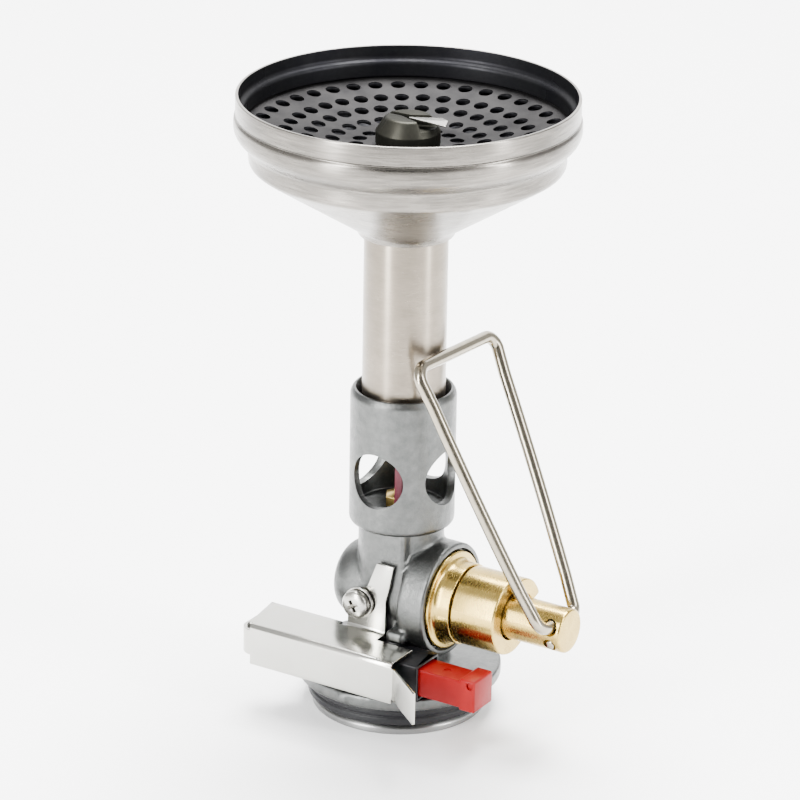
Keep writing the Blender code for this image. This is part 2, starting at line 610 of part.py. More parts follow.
def wire_handle():
    """Make the bent wire: two short hooks on the pivot, two legs and the bar between them."""
    front = pivot_frame().to_3x3() @ Vector((0, 0, 1))
    lean = Vector((BAR_X - PIVOT.x, 0, BAR_Z - PIVOT.z))
    up = (lean - front * lean.dot(front)).normalized()
    outline = leg_outline(LEG_FRONT, lean.length)
    outline += [(-across, rise) for across, rise in reversed(leg_outline(LEG_BACK, lean.length))]
    points = [PIVOT + front * across + up * rise for across, rise in outline]
    tube_along("wire_handle", points, WIRE_R, WIRE, sides=3, origin=PIVOT)


def tube_and_bowl():
    """Make the mixing tube, the burner bowl and the ring that closes its edge."""
    ring("mixing_tube", TUBE_R - TUBE_WALL, TUBE_R, TUBE_BOTTOM, TUBE_TOP, STAINLESS)
    shoulder = [(BAND_R + (BULGE_R - BAND_R) * t * t * (3 - 2 * t),
                 BAND_TOP + (SHOULDER_TOP - BAND_TOP) * t) for t in (0, 0.25, 0.5, 0.75, 1)]
    outside = [
        (TUBE_R + GAP + BOWL_WALL, BOWL_Z), (TUBE_R + GAP + 0.9e-3, BOWL_Z + 0.9e-3),
        (CONE_R, CONE_TOP), (BAND_R - 0.3e-3, CONE_TOP + 0.45e-3),
        (BAND_R, CONE_TOP + 1.0e-3), *shoulder, (BULGE_R, BULGE_Z),
        (BULGE_R - 0.1e-3, BULGE_Z + 0.9e-3),
        (RIM_R, BOWL_TOP)]
    inside = [(radius - BOWL_WALL, height + shift) for (radius, height), shift in
              zip(outside, [0, 0.3e-3, 0.4e-3, 0.2e-3] + [0] * len(outside))]
    turned("burner_bowl", outside + inside[::-1], STAINLESS, steps=WIDE)
    low = BOWL_TOP + GAP
    skirt_r = RIM_R - BOWL_WALL - GAP
    skirt_z = PLATE_Z + PLATE_RISE + GAP
    turned("rim_ring", [
        (skirt_r - RIM_WALL, skirt_z), (skirt_r, skirt_z), (skirt_r, low), (RIM_R, low),
        (RIM_R, RIM_TOP - 0.1e-3), (RIM_R - 0.12e-3, RIM_TOP), (RIM_R - RIM_WALL, RIM_TOP),
        (RIM_R - RIM_WALL, low + 0.5e-3), (skirt_r - RIM_WALL, low + 0.3e-3)], STAINLESS,
        steps=WIDE)


def plate_height(radius):
    """Return the height of the burner plate's top at a distance from its centre."""
    plate_r = BULGE_R - BOWL_WALL - GAP
    return PLATE_Z + PLATE_RISE * max(0, radius - PLATE_FLAT_R) / (plate_r - PLATE_FLAT_R)


def burner_plate():
    """Make the dished plate with its rings of flame ports."""
    plate_r = BULGE_R - BOWL_WALL - GAP
    hole_r = CERAMIC_R + GAP
    edge = plate_height(plate_r)
    plate = turned("burner_plate", [
        (hole_r, PLATE_Z), (PLATE_FLAT_R, PLATE_Z), (plate_r, edge), (plate_r, edge - PLATE_H),
        (PLATE_FLAT_R, PLATE_Z - PLATE_H), (hole_r, PLATE_Z - PLATE_H)], DARK_STEEL)
    bm = bmesh.new()
    for ring_r, count, phase in PORT_RINGS:
        for index in range(count):
            turn = Matrix.Rotation(tau * (index + phase) / count, 4, "Z")
            place = turn @ Matrix.Translation((ring_r, 0, plate_height(ring_r)))
            bmesh.ops.create_cone(bm, cap_ends=True, segments=5, radius1=PORT_R,
                                  radius2=PORT_R, depth=6 * PLATE_H, matrix=place)
    cut(plate, finish_mesh("ports_tool", bm, None))


def electrode_pieces():
    """Make the centre cap with its slot, the spark tab, the ceramic and the electrode."""
    low = PLATE_Z + GAP
    high = low + CAP_H
    bore = CERAMIC_R + GAP
    cap = turned("centre_cap", [
        (0, high), (CAP_TOP_R, high), (CAP_R, low + CAP_SKIRT), (CAP_R, low + 0.1e-3),
        (CAP_R - 0.1e-3, low), (bore, low), (bore, low + CAP_SKIRT + 0.6e-3),
        (0, low + CAP_SKIRT + 0.6e-3)], DARK_STEEL, steps=32)
    slot = 0.5e-3
    cut(cap, box("slot_tool", (-CAP_R, -slot, high - 0.9e-3), (CAP_R, slot, high + 1e-3)))
    tab_half = slot - 0.15e-3
    ring_low = high - 0.5e-3
    box("spark_tab", (CAP_TOP_R - 0.6e-3, -tab_half, ring_low),
        (CAP_TOP_R + 2.6e-3, tab_half, ring_low + 0.35e-3), WIRE)
    ceramic_top = low + CAP_SKIRT + 0.3e-3
    ring("electrode_ceramic", ELECTRODE_R + GAP, CERAMIC_R, CERAMIC_BOTTOM, ceramic_top,
         CERAMIC, steps=16)
    rod("electrode", ELECTRODE_R, CERAMIC_BOTTOM, ceramic_top, WIRE, steps=10)


def igniter_pieces():
    """Make the piezo case with its crystal, hammer, spring, contact and push button."""
    low, high = Vector(CASE_LOW), Vector(CASE_HIGH)
    case = box("igniter_case", low, high, BLACK_PLASTIC, CASE_EASE)
    join(case, box("mouth_tool", (MOUTH_X, low.y, low.z), (high.x, MOUTH_BACK, high.z),
                   bevel=CASE_EASE))
    room_low = low + Vector((CASE_BACK, CASE_WALL, CASE_FLOOR))
    room_high = high + Vector((1e-3, -CASE_WALL, -CASE_FLOOR))
    mouth_x = MOUTH_X + CASE_WALL
    mouth_y = MOUTH_BACK - CASE_WALL
    cut(case, box("case_room_tool", room_low, room_high),
        box("mouth_room_tool", (mouth_x, room_low.y, room_low.z),
            (room_high.x, mouth_y, room_high.z)))
    play = Vector((0, BUTTON_PLAY, BUTTON_PLAY))
    stem_low = Vector((BUTTON_BACK, room_low.y, room_low.z)) + play
    stem_high = Vector((BUTTON_FRONT - BUTTON_CAP / 2, room_high.y, room_high.z)) - play
    rest_point = Vector((high.x, IGNITER_MID.y, IGNITER_MID.z))
    button = box("igniter_button", stem_low, stem_high, RED_PLASTIC, 0.15e-3, rest_point)
    wide = box("wide_stem_tool", (mouth_x + BUTTON_TRAVEL + BUTTON_PLAY, stem_low.y, stem_low.z),
               (stem_high.x, mouth_y - BUTTON_PLAY, stem_high.z), bevel=0.15e-3)
    proud = Vector((0, 0, BUTTON_CAP_PROUD))
    cap_low = Vector((BUTTON_FRONT - BUTTON_CAP, stem_low.y, stem_low.z)) - proud
    cap_high = Vector((BUTTON_FRONT, BUTTON_CAP_BACK, stem_high.z)) + proud
    join(button, wide, box("button_cap_tool", cap_low, cap_high, bevel=0.2e-3))
    hammer_back = BUTTON_BACK - SPRING_ROOM - HAMMER_LENGTH
    coil = helix(COIL_R, BUTTON_BACK - SPRING_ROOM + 0.45e-3, BUTTON_BACK - 0.45e-3, 4)
    tube_along("return_spring", [IGNITER_AXIS @ p for p in coil], COIL_WIRE_R, WIRE, sides=1)
    rod("piezo_hammer", HAMMER_R, hammer_back, hammer_back + HAMMER_LENGTH, WIRE,
        IGNITER_AXIS, 16)
    contact_front = room_low.x + GAP + 0.6e-3
    rod("piezo_crystal", CRYSTAL_R, contact_front + GAP, hammer_back - GAP, CERAMIC,
        IGNITER_AXIS, 16)
    rod("piezo_contact", CRYSTAL_R, room_low.x + GAP, contact_front, BRASS, IGNITER_AXIS, 16)


def ignition_lead():
    """Make the lead from the igniter case, up through the casting, to the electrode."""
    tube_along("ignition_lead", smooth_route(LEAD_ROUTE, 3 * LEAD_R), LEAD_R, SLEEVING,
               sides=2)


def strip_outline():
    """Return the strip's front view, x and z, wide at the screw and narrow at its top."""
    left, right = STRIP_X
    low = SHIELD_TOP - THIN
    return [(left, low), (right, low), (right, STRIP_TAPER_Z), (STRIP_TIP_X[1], STRIP_TOP),
            (STRIP_TIP_X[0], STRIP_TOP), (STRIP_TIP_X[0] - 1.5e-3, STRIP_TAPER_Z + 1.9e-3),
            (left, STRIP_TAPER_Z + 0.3e-3)]


def heat_shield():
    """Make the folded sheet: top, front, end flange, angled flap and the strip."""
    left, right = SHIELD_X
    under = SHIELD_TOP - THIN
    strip_back = -(BARREL_R + GAP)
    notch_y = strip_back - NOTCH_DEPTH
    top = prism("heat_shield", [
        (left, SHIELD_Y), (right, SHIELD_Y), (right, SHIELD_RIGHT_BACK),
        (STRIP_X[1], SHIELD_RIGHT_BACK), (STRIP_X[1], strip_back), (STRIP_X[0], strip_back),
        (STRIP_X[0], notch_y), (NOTCH_X, notch_y), (NOTCH_X, strip_back),
        (left - SHIELD_SKEW, strip_back)], under, SHIELD_TOP, STAINLESS)
    front = box("front_tool", (END_X, SHIELD_Y, SHIELD_BOTTOM),
                (right, SHIELD_Y + THIN, SHIELD_TOP - 0.1e-3))
    bend = (END_X, SHIELD_Y + END_BEND_R)
    outer = arc(bend, END_BEND_R, radians(-90), radians(-180), 5)
    inner = arc(bend, END_BEND_R - THIN, radians(-180), radians(-90), 5)
    overlap = END_X + THIN / 2
    flange = prism("end_tool", [
        (overlap, SHIELD_Y), *outer, (END_X - END_BEND_R, END_BACK),
        (END_X - END_BEND_R + THIN, END_BACK), *inner, (overlap, SHIELD_Y + THIN)],
        END_BOTTOM, under - GAP)
    out = Vector((cos(FLAP_ANGLE), -sin(FLAP_ANGLE)))
    root = Vector((right - THIN, SHIELD_Y))
    tip = root + out * FLAP_LENGTH
    side = Vector((sin(FLAP_ANGLE), cos(FLAP_ANGLE))) * THIN
    flap = prism("flap_tool", [root, tip, tip + side, root + side], FLAP_BOTTOM,
                 SHIELD_TOP - 0.5e-3)
    strip = prism("strip_tool", strip_outline(), -strip_back, -strip_back + THIN,
                  place=Matrix.Rotation(radians(90), 4, "X"))
    join(top, front, flange, flap, strip)
    hole = rod("strip_hole_tool", SCREW_R + GAP, CELL_R, BOSS_R,
               place=along_y(SCREW_X, SCREW_Z), steps=16)
    cut(top, hole)


def fasteners():
    """Make the screw that holds the strip to the casting, and its washer."""
    face = BARREL_R + GAP + THIN
    place = along_y(SCREW_X, SCREW_Z)
    washer_top = face + GAP + WASHER_H
    ring("screw_washer", SCREW_R + GAP, SCREW_HEAD_R + 0.2e-3, face + GAP, washer_top,
         DARK_STEEL, place, FINE)
    head = washer_top + GAP
    crown = [(SCREW_HEAD_R * cos(a), head + 0.35e-3 + (SCREW_HEAD_H - 0.35e-3) * sin(a))
             for a in (radians(step * 18) for step in range(5))]
    screw = turned("bracket_screw", [
        (0, CELL_R + 1.0e-3), (SCREW_R, CELL_R + 1.0e-3), (SCREW_R, head),
        (SCREW_HEAD_R, head), *crown, (0, head + SCREW_HEAD_H)], STAINLESS, place, FINE)
    half, depth = 0.28e-3, 0.6e-3
    arm = 1.05e-3
    top = -(head + SCREW_HEAD_H)
    for name, wide, tall in (("cross_a_tool", arm, half), ("cross_b_tool", half, arm)):
        cut(screw, box(name, (SCREW_X - wide, top - depth, SCREW_Z - tall),
                       (SCREW_X + wide, top + depth, SCREW_Z + tall)))


def main():
    """Build every piece of the stove."""
    clear_scene()
    base_pieces()
    valve_body()
    gas_pieces()
    regulator_pieces()
    spindle_pieces()
    wire_handle()
    tube_and_bowl()
    burner_plate()
    electrode_pieces()
    igniter_pieces()
    ignition_lead()
    heat_shield()
    fasteners()


main()
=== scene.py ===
"""Looks of a compact canister stove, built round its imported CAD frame.

Lengths are in metres. The frame's origin is on the burner's axis at the bottom of the connector
ring, +Z is up, +X runs along the valve towards the wire handle, and -Y is the igniter's side.
"""
import json
import logging
from collections.abc import Sequence
from dataclasses import dataclass, field
from enum import Enum
from math import cos, pi, radians, sin, tau
from typing import ClassVar, NamedTuple

import bmesh
import bpy
from mathutils import Matrix, Vector


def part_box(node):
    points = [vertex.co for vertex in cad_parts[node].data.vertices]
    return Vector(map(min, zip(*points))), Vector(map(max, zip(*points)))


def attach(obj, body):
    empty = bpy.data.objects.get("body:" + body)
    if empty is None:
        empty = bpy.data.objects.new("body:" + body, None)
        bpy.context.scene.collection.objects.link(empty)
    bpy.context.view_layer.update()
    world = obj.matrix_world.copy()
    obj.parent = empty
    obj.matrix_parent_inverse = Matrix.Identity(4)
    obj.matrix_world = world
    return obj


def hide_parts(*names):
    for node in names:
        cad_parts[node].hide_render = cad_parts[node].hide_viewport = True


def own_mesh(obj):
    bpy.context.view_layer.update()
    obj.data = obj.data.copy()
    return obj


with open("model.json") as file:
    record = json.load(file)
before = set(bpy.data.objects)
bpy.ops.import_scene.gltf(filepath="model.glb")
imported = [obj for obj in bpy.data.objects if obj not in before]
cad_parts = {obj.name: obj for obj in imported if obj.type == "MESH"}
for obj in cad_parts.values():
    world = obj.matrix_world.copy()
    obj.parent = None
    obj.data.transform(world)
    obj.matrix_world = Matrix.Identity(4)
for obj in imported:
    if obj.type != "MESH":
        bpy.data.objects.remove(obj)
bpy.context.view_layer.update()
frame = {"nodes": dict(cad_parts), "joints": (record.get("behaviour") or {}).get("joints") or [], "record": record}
MERGE = 1e-7
SLACK = 1e-5
QUARTER_TURN = 0.25
STOVE = "stove"
VALVE_Z = sum(corner.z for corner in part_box("spindle")) / 2

Item = bpy.types.Object
Socket = bpy.types.NodeSocket
Shape, Edge, Vert = bmesh.types.BMesh, bmesh.types.BMEdge, bmesh.types.BMVert
Point = Sequence[float]

log = logging.getLogger("stove")


# ---------------------------------------------------------------- mesh tools


class Corner(NamedTuple):
    """A corner of an outline: its distance from the axis, its height and its fillet."""

    radius: float
    height: float
    fillet: float = 0.0


class Joining(Enum):
    """How a tool changes a solid."""

    ADD = "UNION"
    REMOVE = "DIFFERENCE"


class Axis(Enum):
    """A line that pieces are turned about, as the place that lays the height axis on it."""

    BURNER = Matrix()
    VALVE = Matrix.Translation((0, 0, VALVE_Z)) @ Matrix.Rotation(radians(90), 4, "Y")


def front_axis(x: float, z: float) -> Matrix:
    """Return the place that lays the height axis along -Y at x, z."""
    return Matrix.Translation((x, 0, z)) @ Matrix.Rotation(radians(90), 4, "X")


def eased(corners: Sequence[Corner], segments: int = 4) -> list[tuple[float, float]]:
    """Round the corners of an outline.

    Args:
        corners: the outline's corners in order.
        segments: steps in each rounded corner.

    Returns:
        Points of (radius, height).
    """
    spots = [Vector(corner[:2]) for corner in corners]
    points = []
    for index, corner in enumerate(corners):
        here = spots[index]
        if not corner.fillet:
            points.append(tuple(here))
            continue
        before = spots[index - 1] - here
        after = spots[(index + 1) % len(spots)] - here
        start = here + before.normalized() * min(corner.fillet, 0.49 * before.length)
        end = here + after.normalized() * min(corner.fillet, 0.49 * after.length)
        for step in range(segments + 1):
            t = step / segments
            points.append(tuple(start * (1 - t) ** 2 + here * 2 * t * (1 - t) + end * t * t))
    return points


def rungs(radius: float, low: float, high: float, count: int) -> list[Corner]:
    """Return evenly spaced corners up a straight wall, so that holes in it shade cleanly."""
    return [Corner(radius, low + (high - low) * step / count) for step in range(count + 1)]


def turn(corners: Sequence[Corner], place: Matrix = Axis.BURNER.value, steps: int = 128,
         segments: int = 4) -> Shape:
    """Spin an outline about an axis into a closed shape.

    Args:
        corners: the outline; one that doesn't start on the axis closes on itself.
        place: lays the height axis on the piece's own axis.
        steps: sides of the turned piece.
        segments: steps in each rounded corner.

    Returns:
        The turned bmesh.
    """
    bm = bmesh.new()
    points = [bm.verts.new((radius, 0, height)) for radius, height in eased(corners, segments)]
    edges = [bm.edges.new(pair) for pair in zip(points, points[1:])]
    if corners[0].radius > 0:
        edges.append(bm.edges.new((points[-1], points[0])))
    bmesh.ops.spin(bm, geom=points + edges, cent=(0, 0, 0), axis=(0, 0, 1), angle=tau,
                   steps=steps, use_merge=True)
    bmesh.ops.transform(bm, matrix=place, verts=bm.verts)
    return bm


def block(low: Point, high: Point, ease: float = 0.0, segments: int = 2) -> Shape:
    """Make a box between two corners, with its edges eased.

    Args:
        low: the lowest corner.
        high: the highest corner.
        ease: width of the eased edges.
        segments: steps across an eased edge.

    Returns:
        The box as a bmesh.
    """
    bm = bmesh.new()
    bmesh.ops.create_cube(bm, size=1)
    low, high = Vector(low), Vector(high)
    bmesh.ops.scale(bm, vec=high - low, verts=bm.verts)
    bmesh.ops.translate(bm, vec=(low + high) / 2, verts=bm.verts)
    if ease:
        bmesh.ops.bevel(bm, geom=bm.edges, offset=ease, segments=segments, profile=0.5,
                        affect="EDGES", material=-1)
    return bm


def slab(outline: Sequence[Point], low: float, high: float) -> Shape:
    """Make a flat plate from its outline seen from above, between two heights."""
    bm = bmesh.new()
    face = bm.faces.new([bm.verts.new((x, y, low)) for x, y in outline])
    made = bmesh.ops.extrude_face_region(bm, geom=[face])["geom"]
    verts = [item for item in made if isinstance(item, Vert)]
    bmesh.ops.translate(bm, vec=(0, 0, high - low), verts=verts)
    return bm


def drill(radius: float, low: float, high: float, place: Matrix = Axis.BURNER.value,
          steps: int = 48) -> Item:
    """Make a plain round tool between two heights of an axis."""
    outline = [Corner(0, low), Corner(radius, low), Corner(radius, high), Corner(0, high)]
    return solid(turn(outline, place, steps))


def stand(name: str, data: bpy.types.ID) -> Item:
    """Put an object that shows some data in the scene."""
    item = bpy.data.objects.new(name, data)
    bpy.context.collection.objects.link(item)
    return item


def pour(bm: Shape, name: str = "solid") -> bpy.types.Mesh:
    """Turn a bmesh into a mesh, and free it."""
    mesh = bpy.data.meshes.new(name)
    bm.to_mesh(mesh)
    bm.free()
    return mesh


def solid(bm: Shape) -> Item:
    """Turn a bmesh into an object, merged and with its faces outward."""
    bmesh.ops.remove_doubles(bm, verts=bm.verts, dist=MERGE)
    bmesh.ops.recalc_face_normals(bm, faces=bm.faces)
    return stand("solid", pour(bm))


def settle(item: Item) -> Item:
    """Apply an object's modifiers, or a curve's bevel, to a mesh at the origin."""
    bpy.context.view_layer.update()
    graph = bpy.context.evaluated_depsgraph_get()
    mesh = bpy.data.meshes.new_from_object(item.evaluated_get(graph), depsgraph=graph)
    bpy.data.objects.remove(item, do_unlink=True)
    return stand("solid", mesh)


def reshape(item: Item, joining: Joining, *tools: Item) -> Item:
    """Add tools to a solid or remove them from it.

    Args:
        item: the solid to change.
        joining: whether the tools are added or removed.
        tools: closed solids, which are used up.

    Returns:
        The changed solid.
    """
    for tool in tools:
        change = item.modifiers.new("shape", "BOOLEAN")
        change.operation = joining.value
        change.solver = "EXACT"
        change.object = tool
    made = settle(item)
    for tool in tools:
        bpy.data.objects.remove(tool, do_unlink=True)
    return made


def soften(item: Item, width: float, segments: int = 2, angle: float = 40) -> Item:
    """Bevel every edge of a solid that is sharper than an angle in degrees."""
    bevel = item.modifiers.new("soften", "BEVEL")
    bevel.width = width
    bevel.segments = segments
    bevel.profile = 0.5
    bevel.limit_method = "ANGLE"
    bevel.angle_limit = radians(angle)
    bevel.use_clamp_overlap = True
    return settle(item)


def wire_along(points: Sequence[Vector], radius: float, rings: int = 7) -> Item:
    """Make a round bar along a list of points.

    Args:
        points: the bar's centreline.
        radius: half the bar's thickness.
        rings: resolution of its section.

    Returns:
        The bar as a mesh object.
    """
    curve = bpy.data.curves.new("wire", "CURVE")
    curve.dimensions = "3D"
    curve.bevel_depth = radius
    curve.bevel_resolution = rings
    curve.use_fill_caps = True
    spline = curve.splines.new("POLY")
    spline.points.add(len(points) - 1)
    for point, place in zip(spline.points, points):
        point.co = (*place, 1)
    return settle(stand("wire", curve))


# ---------------------------------------------------------------- finishes


class Sheet:
    """A material's node sheet, with short calls for the nodes that the finishes share."""

    def __init__(self, name: str) -> None:
        """Start a Principled material."""
        self.material = bpy.data.materials.new(name)
        self.material.use_nodes = True
        self.tree = self.material.node_tree
        self.shader = self.tree.nodes["Principled BSDF"]
        self.place = self.add("TexCoord", {})["Object"]

    def feed(self, target: Socket, value: Socket | float | Point) -> None:
        """Link an input to a socket, or set its value."""
        if isinstance(value, Socket):
            self.tree.links.new(value, target)
        else:
            target.default_value = value

    def add(self, kind: str, inputs: dict[str | int, Socket | float | Point],
            **settings: str) -> bpy.types.bpy_prop_collection:
        """Add a node.

        Args:
            kind: its type, without the part that all types share.
            inputs: a socket or a value for each input that is used.
            settings: its own properties.

        Returns:
            The node's outputs.
        """
        node = self.tree.nodes.new("ShaderNode" + kind)
        for name, value in settings.items():
            setattr(node, name, value)
        for name, value in inputs.items():
            self.feed(node.inputs[name], value)
        return node.outputs

    def set(self, **values: Socket | float | Point) -> None:
        """Set the shader's inputs, each by its name with _ for a space."""
        for name, value in values.items():
            self.feed(self.shader.inputs[name.replace("_", " ")], value)

    def centred(self, axis: Axis) -> Socket:
        """Return the piece's own coordinates, counted from a point on an axis."""
        return self.add("Mapping", {"Location": -axis.value.translation,
                                    "Vector": self.place})["Vector"]

    def round_axis(self, axis: Axis, along: float, angular: float) -> tuple[Socket, Socket]:
        """Return coordinates that keep their value on rings about an axis.

        Args:
            axis: the axis that the rings run round.
            along: scale of the pattern across the rings.
            angular: how fast the pattern changes on the way round.

        Returns:
            A vector and a fourth coordinate, for a 4D texture.
        """
        parts = self.add("SeparateXYZ", {"Vector": self.centred(axis)})
        first, second, height = "XYZ" if axis is Axis.BURNER else "ZYX"
        flat = self.add("CombineXYZ", {"X": parts[first], "Y": parts[second]})["Vector"]
        length = self.add("VectorMath", {0: flat}, operation="LENGTH")["Value"]
        unit = self.add("VectorMath", {0: flat}, operation="NORMALIZE")["Vector"]
        around = self.add("SeparateXYZ", {"Vector": unit})
        ring = self.add("CombineXYZ", {"X": self.times(length, along),
                                       "Y": self.times(parts[height], along),
                                       "Z": self.times(around["X"], angular)})
        return ring["Vector"], self.times(around["Y"], angular)

    def way_round(self, axis: Axis) -> Socket:
        """Return the direction that runs round an axis at each point."""
        along = axis.value.to_3x3() @ Vector((0, 0, 1))
        cross = self.add("VectorMath", {0: along, 1: self.centred(axis)},
                         operation="CROSS_PRODUCT")["Vector"]
        return self.add("VectorTransform", {"Vector": cross}, vector_type="VECTOR",
                        convert_from="OBJECT", convert_to="WORLD")["Vector"]

    def times(self, value: Socket, factor: float) -> Socket:
        """Return a value scaled by a factor."""
        return self.add("Math", {0: value, 1: factor}, operation="MULTIPLY")["Value"]

    def plus(self, first: Socket, second: Socket) -> Socket:
        """Return the sum of two values."""
        return self.add("Math", {0: first, 1: second}, operation="ADD")["Value"]

    def noise(self, vector: Socket, scale: float, detail: float = 3.0, rough: float = 0.5,
              fourth: Socket | None = None) -> Socket:
        """Return a noise value.

        Args:
            vector: where it is read.
            scale: its scale.
            detail: its number of finer layers.
            rough: how strong those layers are.
            fourth: the fourth coordinate, if there is one.

        Returns:
            The noise, about 0.5 on average.
        """
        inputs = {"Vector": vector, "Scale": scale, "Detail": detail, "Roughness": rough}
        if fourth:
            inputs["W"] = fourth
        return self.add("TexNoise", inputs, noise_dimensions="4D" if fourth else "3D")["Fac"]

    def ranged(self, value: Socket, low: float, high: float, start: float = 0.3,
               end: float = 0.7) -> Socket:
        """Return a value mapped from start..end to low..high."""
        return self.add("MapRange", {"Value": value, "From Min": start, "From Max": end,
                                     "To Min": low, "To Max": high})["Result"]

    def mixed(self, share: Socket, first: Point | Socket, second: Point) -> Socket:
        """Return a colour between two, by a share."""
        start = first if isinstance(first, Socket) else (*first, 1)
        return self.add("Mix", {"Factor": share, "A": start, "B": (*second, 1)},
                        data_type="RGBA")["Result"]

    def bump(self, height: Socket, strength: float, depth: float) -> None:
        """Give the surface a relief of a depth in metres."""
        self.set(Normal=self.add("Bump", {"Strength": strength, "Distance": depth,
                                          "Height": height})["Normal"])


@dataclass(frozen=True)
class Finish:
    """What every finish states: its name, the record's slot, its colour and its gloss."""

    name: str
    slot: str
    colour: tuple[float, float, float]
    second: tuple[float, float, float]
    gloss: tuple[float, float]
    metallic: ClassVar[float] = 1.0

    def material(self) -> bpy.types.Material:
        """Return the finish's material, made once."""
        made = bpy.data.materials.get(self.name)
        if made is None:
            sheet = Sheet(self.name)
            sheet.set(Metallic=self.metallic)
            self.paint(sheet)
            made = sheet.material
        return made

    def paint(self, sheet: Sheet) -> None:
        """Build the finish's own nodes."""
        raise NotImplementedError


@dataclass(frozen=True)
class TurnedMetal(Finish):
    """Metal with fine rings from turning or brushing about an axis."""

    axis: Axis = Axis.BURNER
    pitch: float = 9000.0
    relief: float = 0.25
    stain: float = 0.35
    spread: float = 0.5
    streak: float = 0.25
    broader: float = 12.0
    way_round_scale: float = 6.0
    broad_way_round_scale: float = 1.5
    cloud: float = 160.0
    shade: float = 0.55
    depth: float = 9e-6

    def paint(self, sheet: Sheet) -> None:
        """Rings in the relief and the gloss, over a slow change of tone."""
        vector, fourth = sheet.round_axis(self.axis, self.pitch, self.way_round_scale)
        rings = sheet.noise(vector, 1.0, 2.0, 0.6, fourth)
        vector, fourth = sheet.round_axis(self.axis, self.pitch / self.broader,
                                          self.broad_way_round_scale)
        broad = sheet.noise(vector, 1.0, 3.0, 0.5, fourth)
        cloud = sheet.noise(sheet.place, self.cloud, 4.0, 0.55)
        tone = sheet.mixed(sheet.ranged(sheet.plus(broad, cloud), 0.0, self.stain, 0.7, 1.3),
                           self.colour, self.second)
        streaks = sheet.times(sheet.ranged(sheet.plus(rings, broad), 0.0, 1.0, 0.8, 1.25),
                              self.streak)
        tone = sheet.mixed(streaks, tone, [value * self.shade for value in self.second])
        gloss = sheet.ranged(sheet.plus(rings, cloud), *self.gloss, 0.65, 1.35)
        sheet.set(Base_Color=tone, Roughness=gloss, Anisotropic=self.spread,
                  Anisotropic_Rotation=QUARTER_TURN, Tangent=sheet.way_round(self.axis))
        sheet.bump(rings, self.relief, self.depth)


@dataclass(frozen=True)
class CastMetal(Finish):
    """Grainy die casting."""

    grain: float = 3200.0
    mottle: float = 800.0
    relief: float = 0.45
    depth: float = 5.5e-5

    def paint(self, sheet: Sheet) -> None:
        """Grain in the relief, and tone and gloss that change in small clouds."""
        grain = sheet.noise(sheet.place, self.grain, 4.0, 0.7)
        mottle = sheet.noise(sheet.place, self.mottle, 6.0, 0.65)
        tone = sheet.mixed(sheet.ranged(mottle, 0.0, 1.0), self.colour, self.second)
        sheet.set(Base_Color=tone, Roughness=sheet.ranged(mottle, *self.gloss))
        sheet.bump(sheet.plus(grain, sheet.times(mottle, 1.5)), self.relief, self.depth)


@dataclass(frozen=True)
class SheetSteel(Finish):
    """Rolled and polished sheet with a fine grain along X."""

    grain: tuple[float, float, float] = (60.0, 9000.0, 9000.0)
    cloud: float = 240.0
    relief: float = 0.12
    depth: float = 4e-6

    def paint(self, sheet: Sheet) -> None:
        """Grain lines along X and faint clouds."""
        stretched = sheet.add("Mapping", {"Scale": self.grain, "Vector": sheet.place})["Vector"]
        lines = sheet.noise(stretched, 1.0, 2.0, 0.6)
        cloud = sheet.noise(sheet.place, self.cloud, 4.0, 0.5)
        tone = sheet.mixed(sheet.ranged(cloud, 0.0, 0.5), self.colour, self.second)
        gloss = sheet.ranged(sheet.plus(lines, cloud), *self.gloss, 0.65, 1.35)
        sheet.set(Base_Color=tone, Roughness=gloss)
        sheet.bump(lines, self.relief, self.depth)


@dataclass(frozen=True)
class PolishedWire(Finish):
    """Bright drawn wire with slight marks."""

    marks: float = 900.0
    relief: float = 0.1
    depth: float = 1e-5

    def paint(self, sheet: Sheet) -> None:
        """Gloss that changes in small patches, and a faint relief."""
        marks = sheet.noise(sheet.place, self.marks, 3.0, 0.55)
        tone = sheet.mixed(sheet.ranged(marks, 0.0, 0.6), self.colour, self.second)
        sheet.set(Base_Color=tone, Roughness=sheet.ranged(marks, *self.gloss))
        sheet.bump(marks, self.relief, self.depth)


@dataclass(frozen=True)
class HeatedSteel(Finish):
    """Steel that flames have darkened, with brown and blue clouds."""

    edge: float = 0.15
    shine: float = 0.25
    cloud: float = 210.0
    grain: float = 2600.0
    relief: float = 0.25
    depth: float = 1.2e-5
    metallic: ClassVar[float] = 0.75

    def paint(self, sheet: Sheet) -> None:
        """Clouds of scale over the dark base, with a fine grain."""
        cloud = sheet.noise(sheet.place, self.cloud, 5.0, 0.6)
        grain = sheet.noise(sheet.place, self.grain, 3.0, 0.6)
        tone = sheet.mixed(sheet.ranged(cloud, 0.0, 1.0, 0.35, 0.68), self.colour, self.second)
        gloss = sheet.ranged(sheet.plus(cloud, grain), *self.gloss, 0.7, 1.3)
        sheet.set(Base_Color=tone, Roughness=gloss, Specular_IOR_Level=self.shine,
                  Specular_Tint=(self.edge, self.edge, self.edge, 1))
        sheet.bump(grain, self.relief, self.depth)


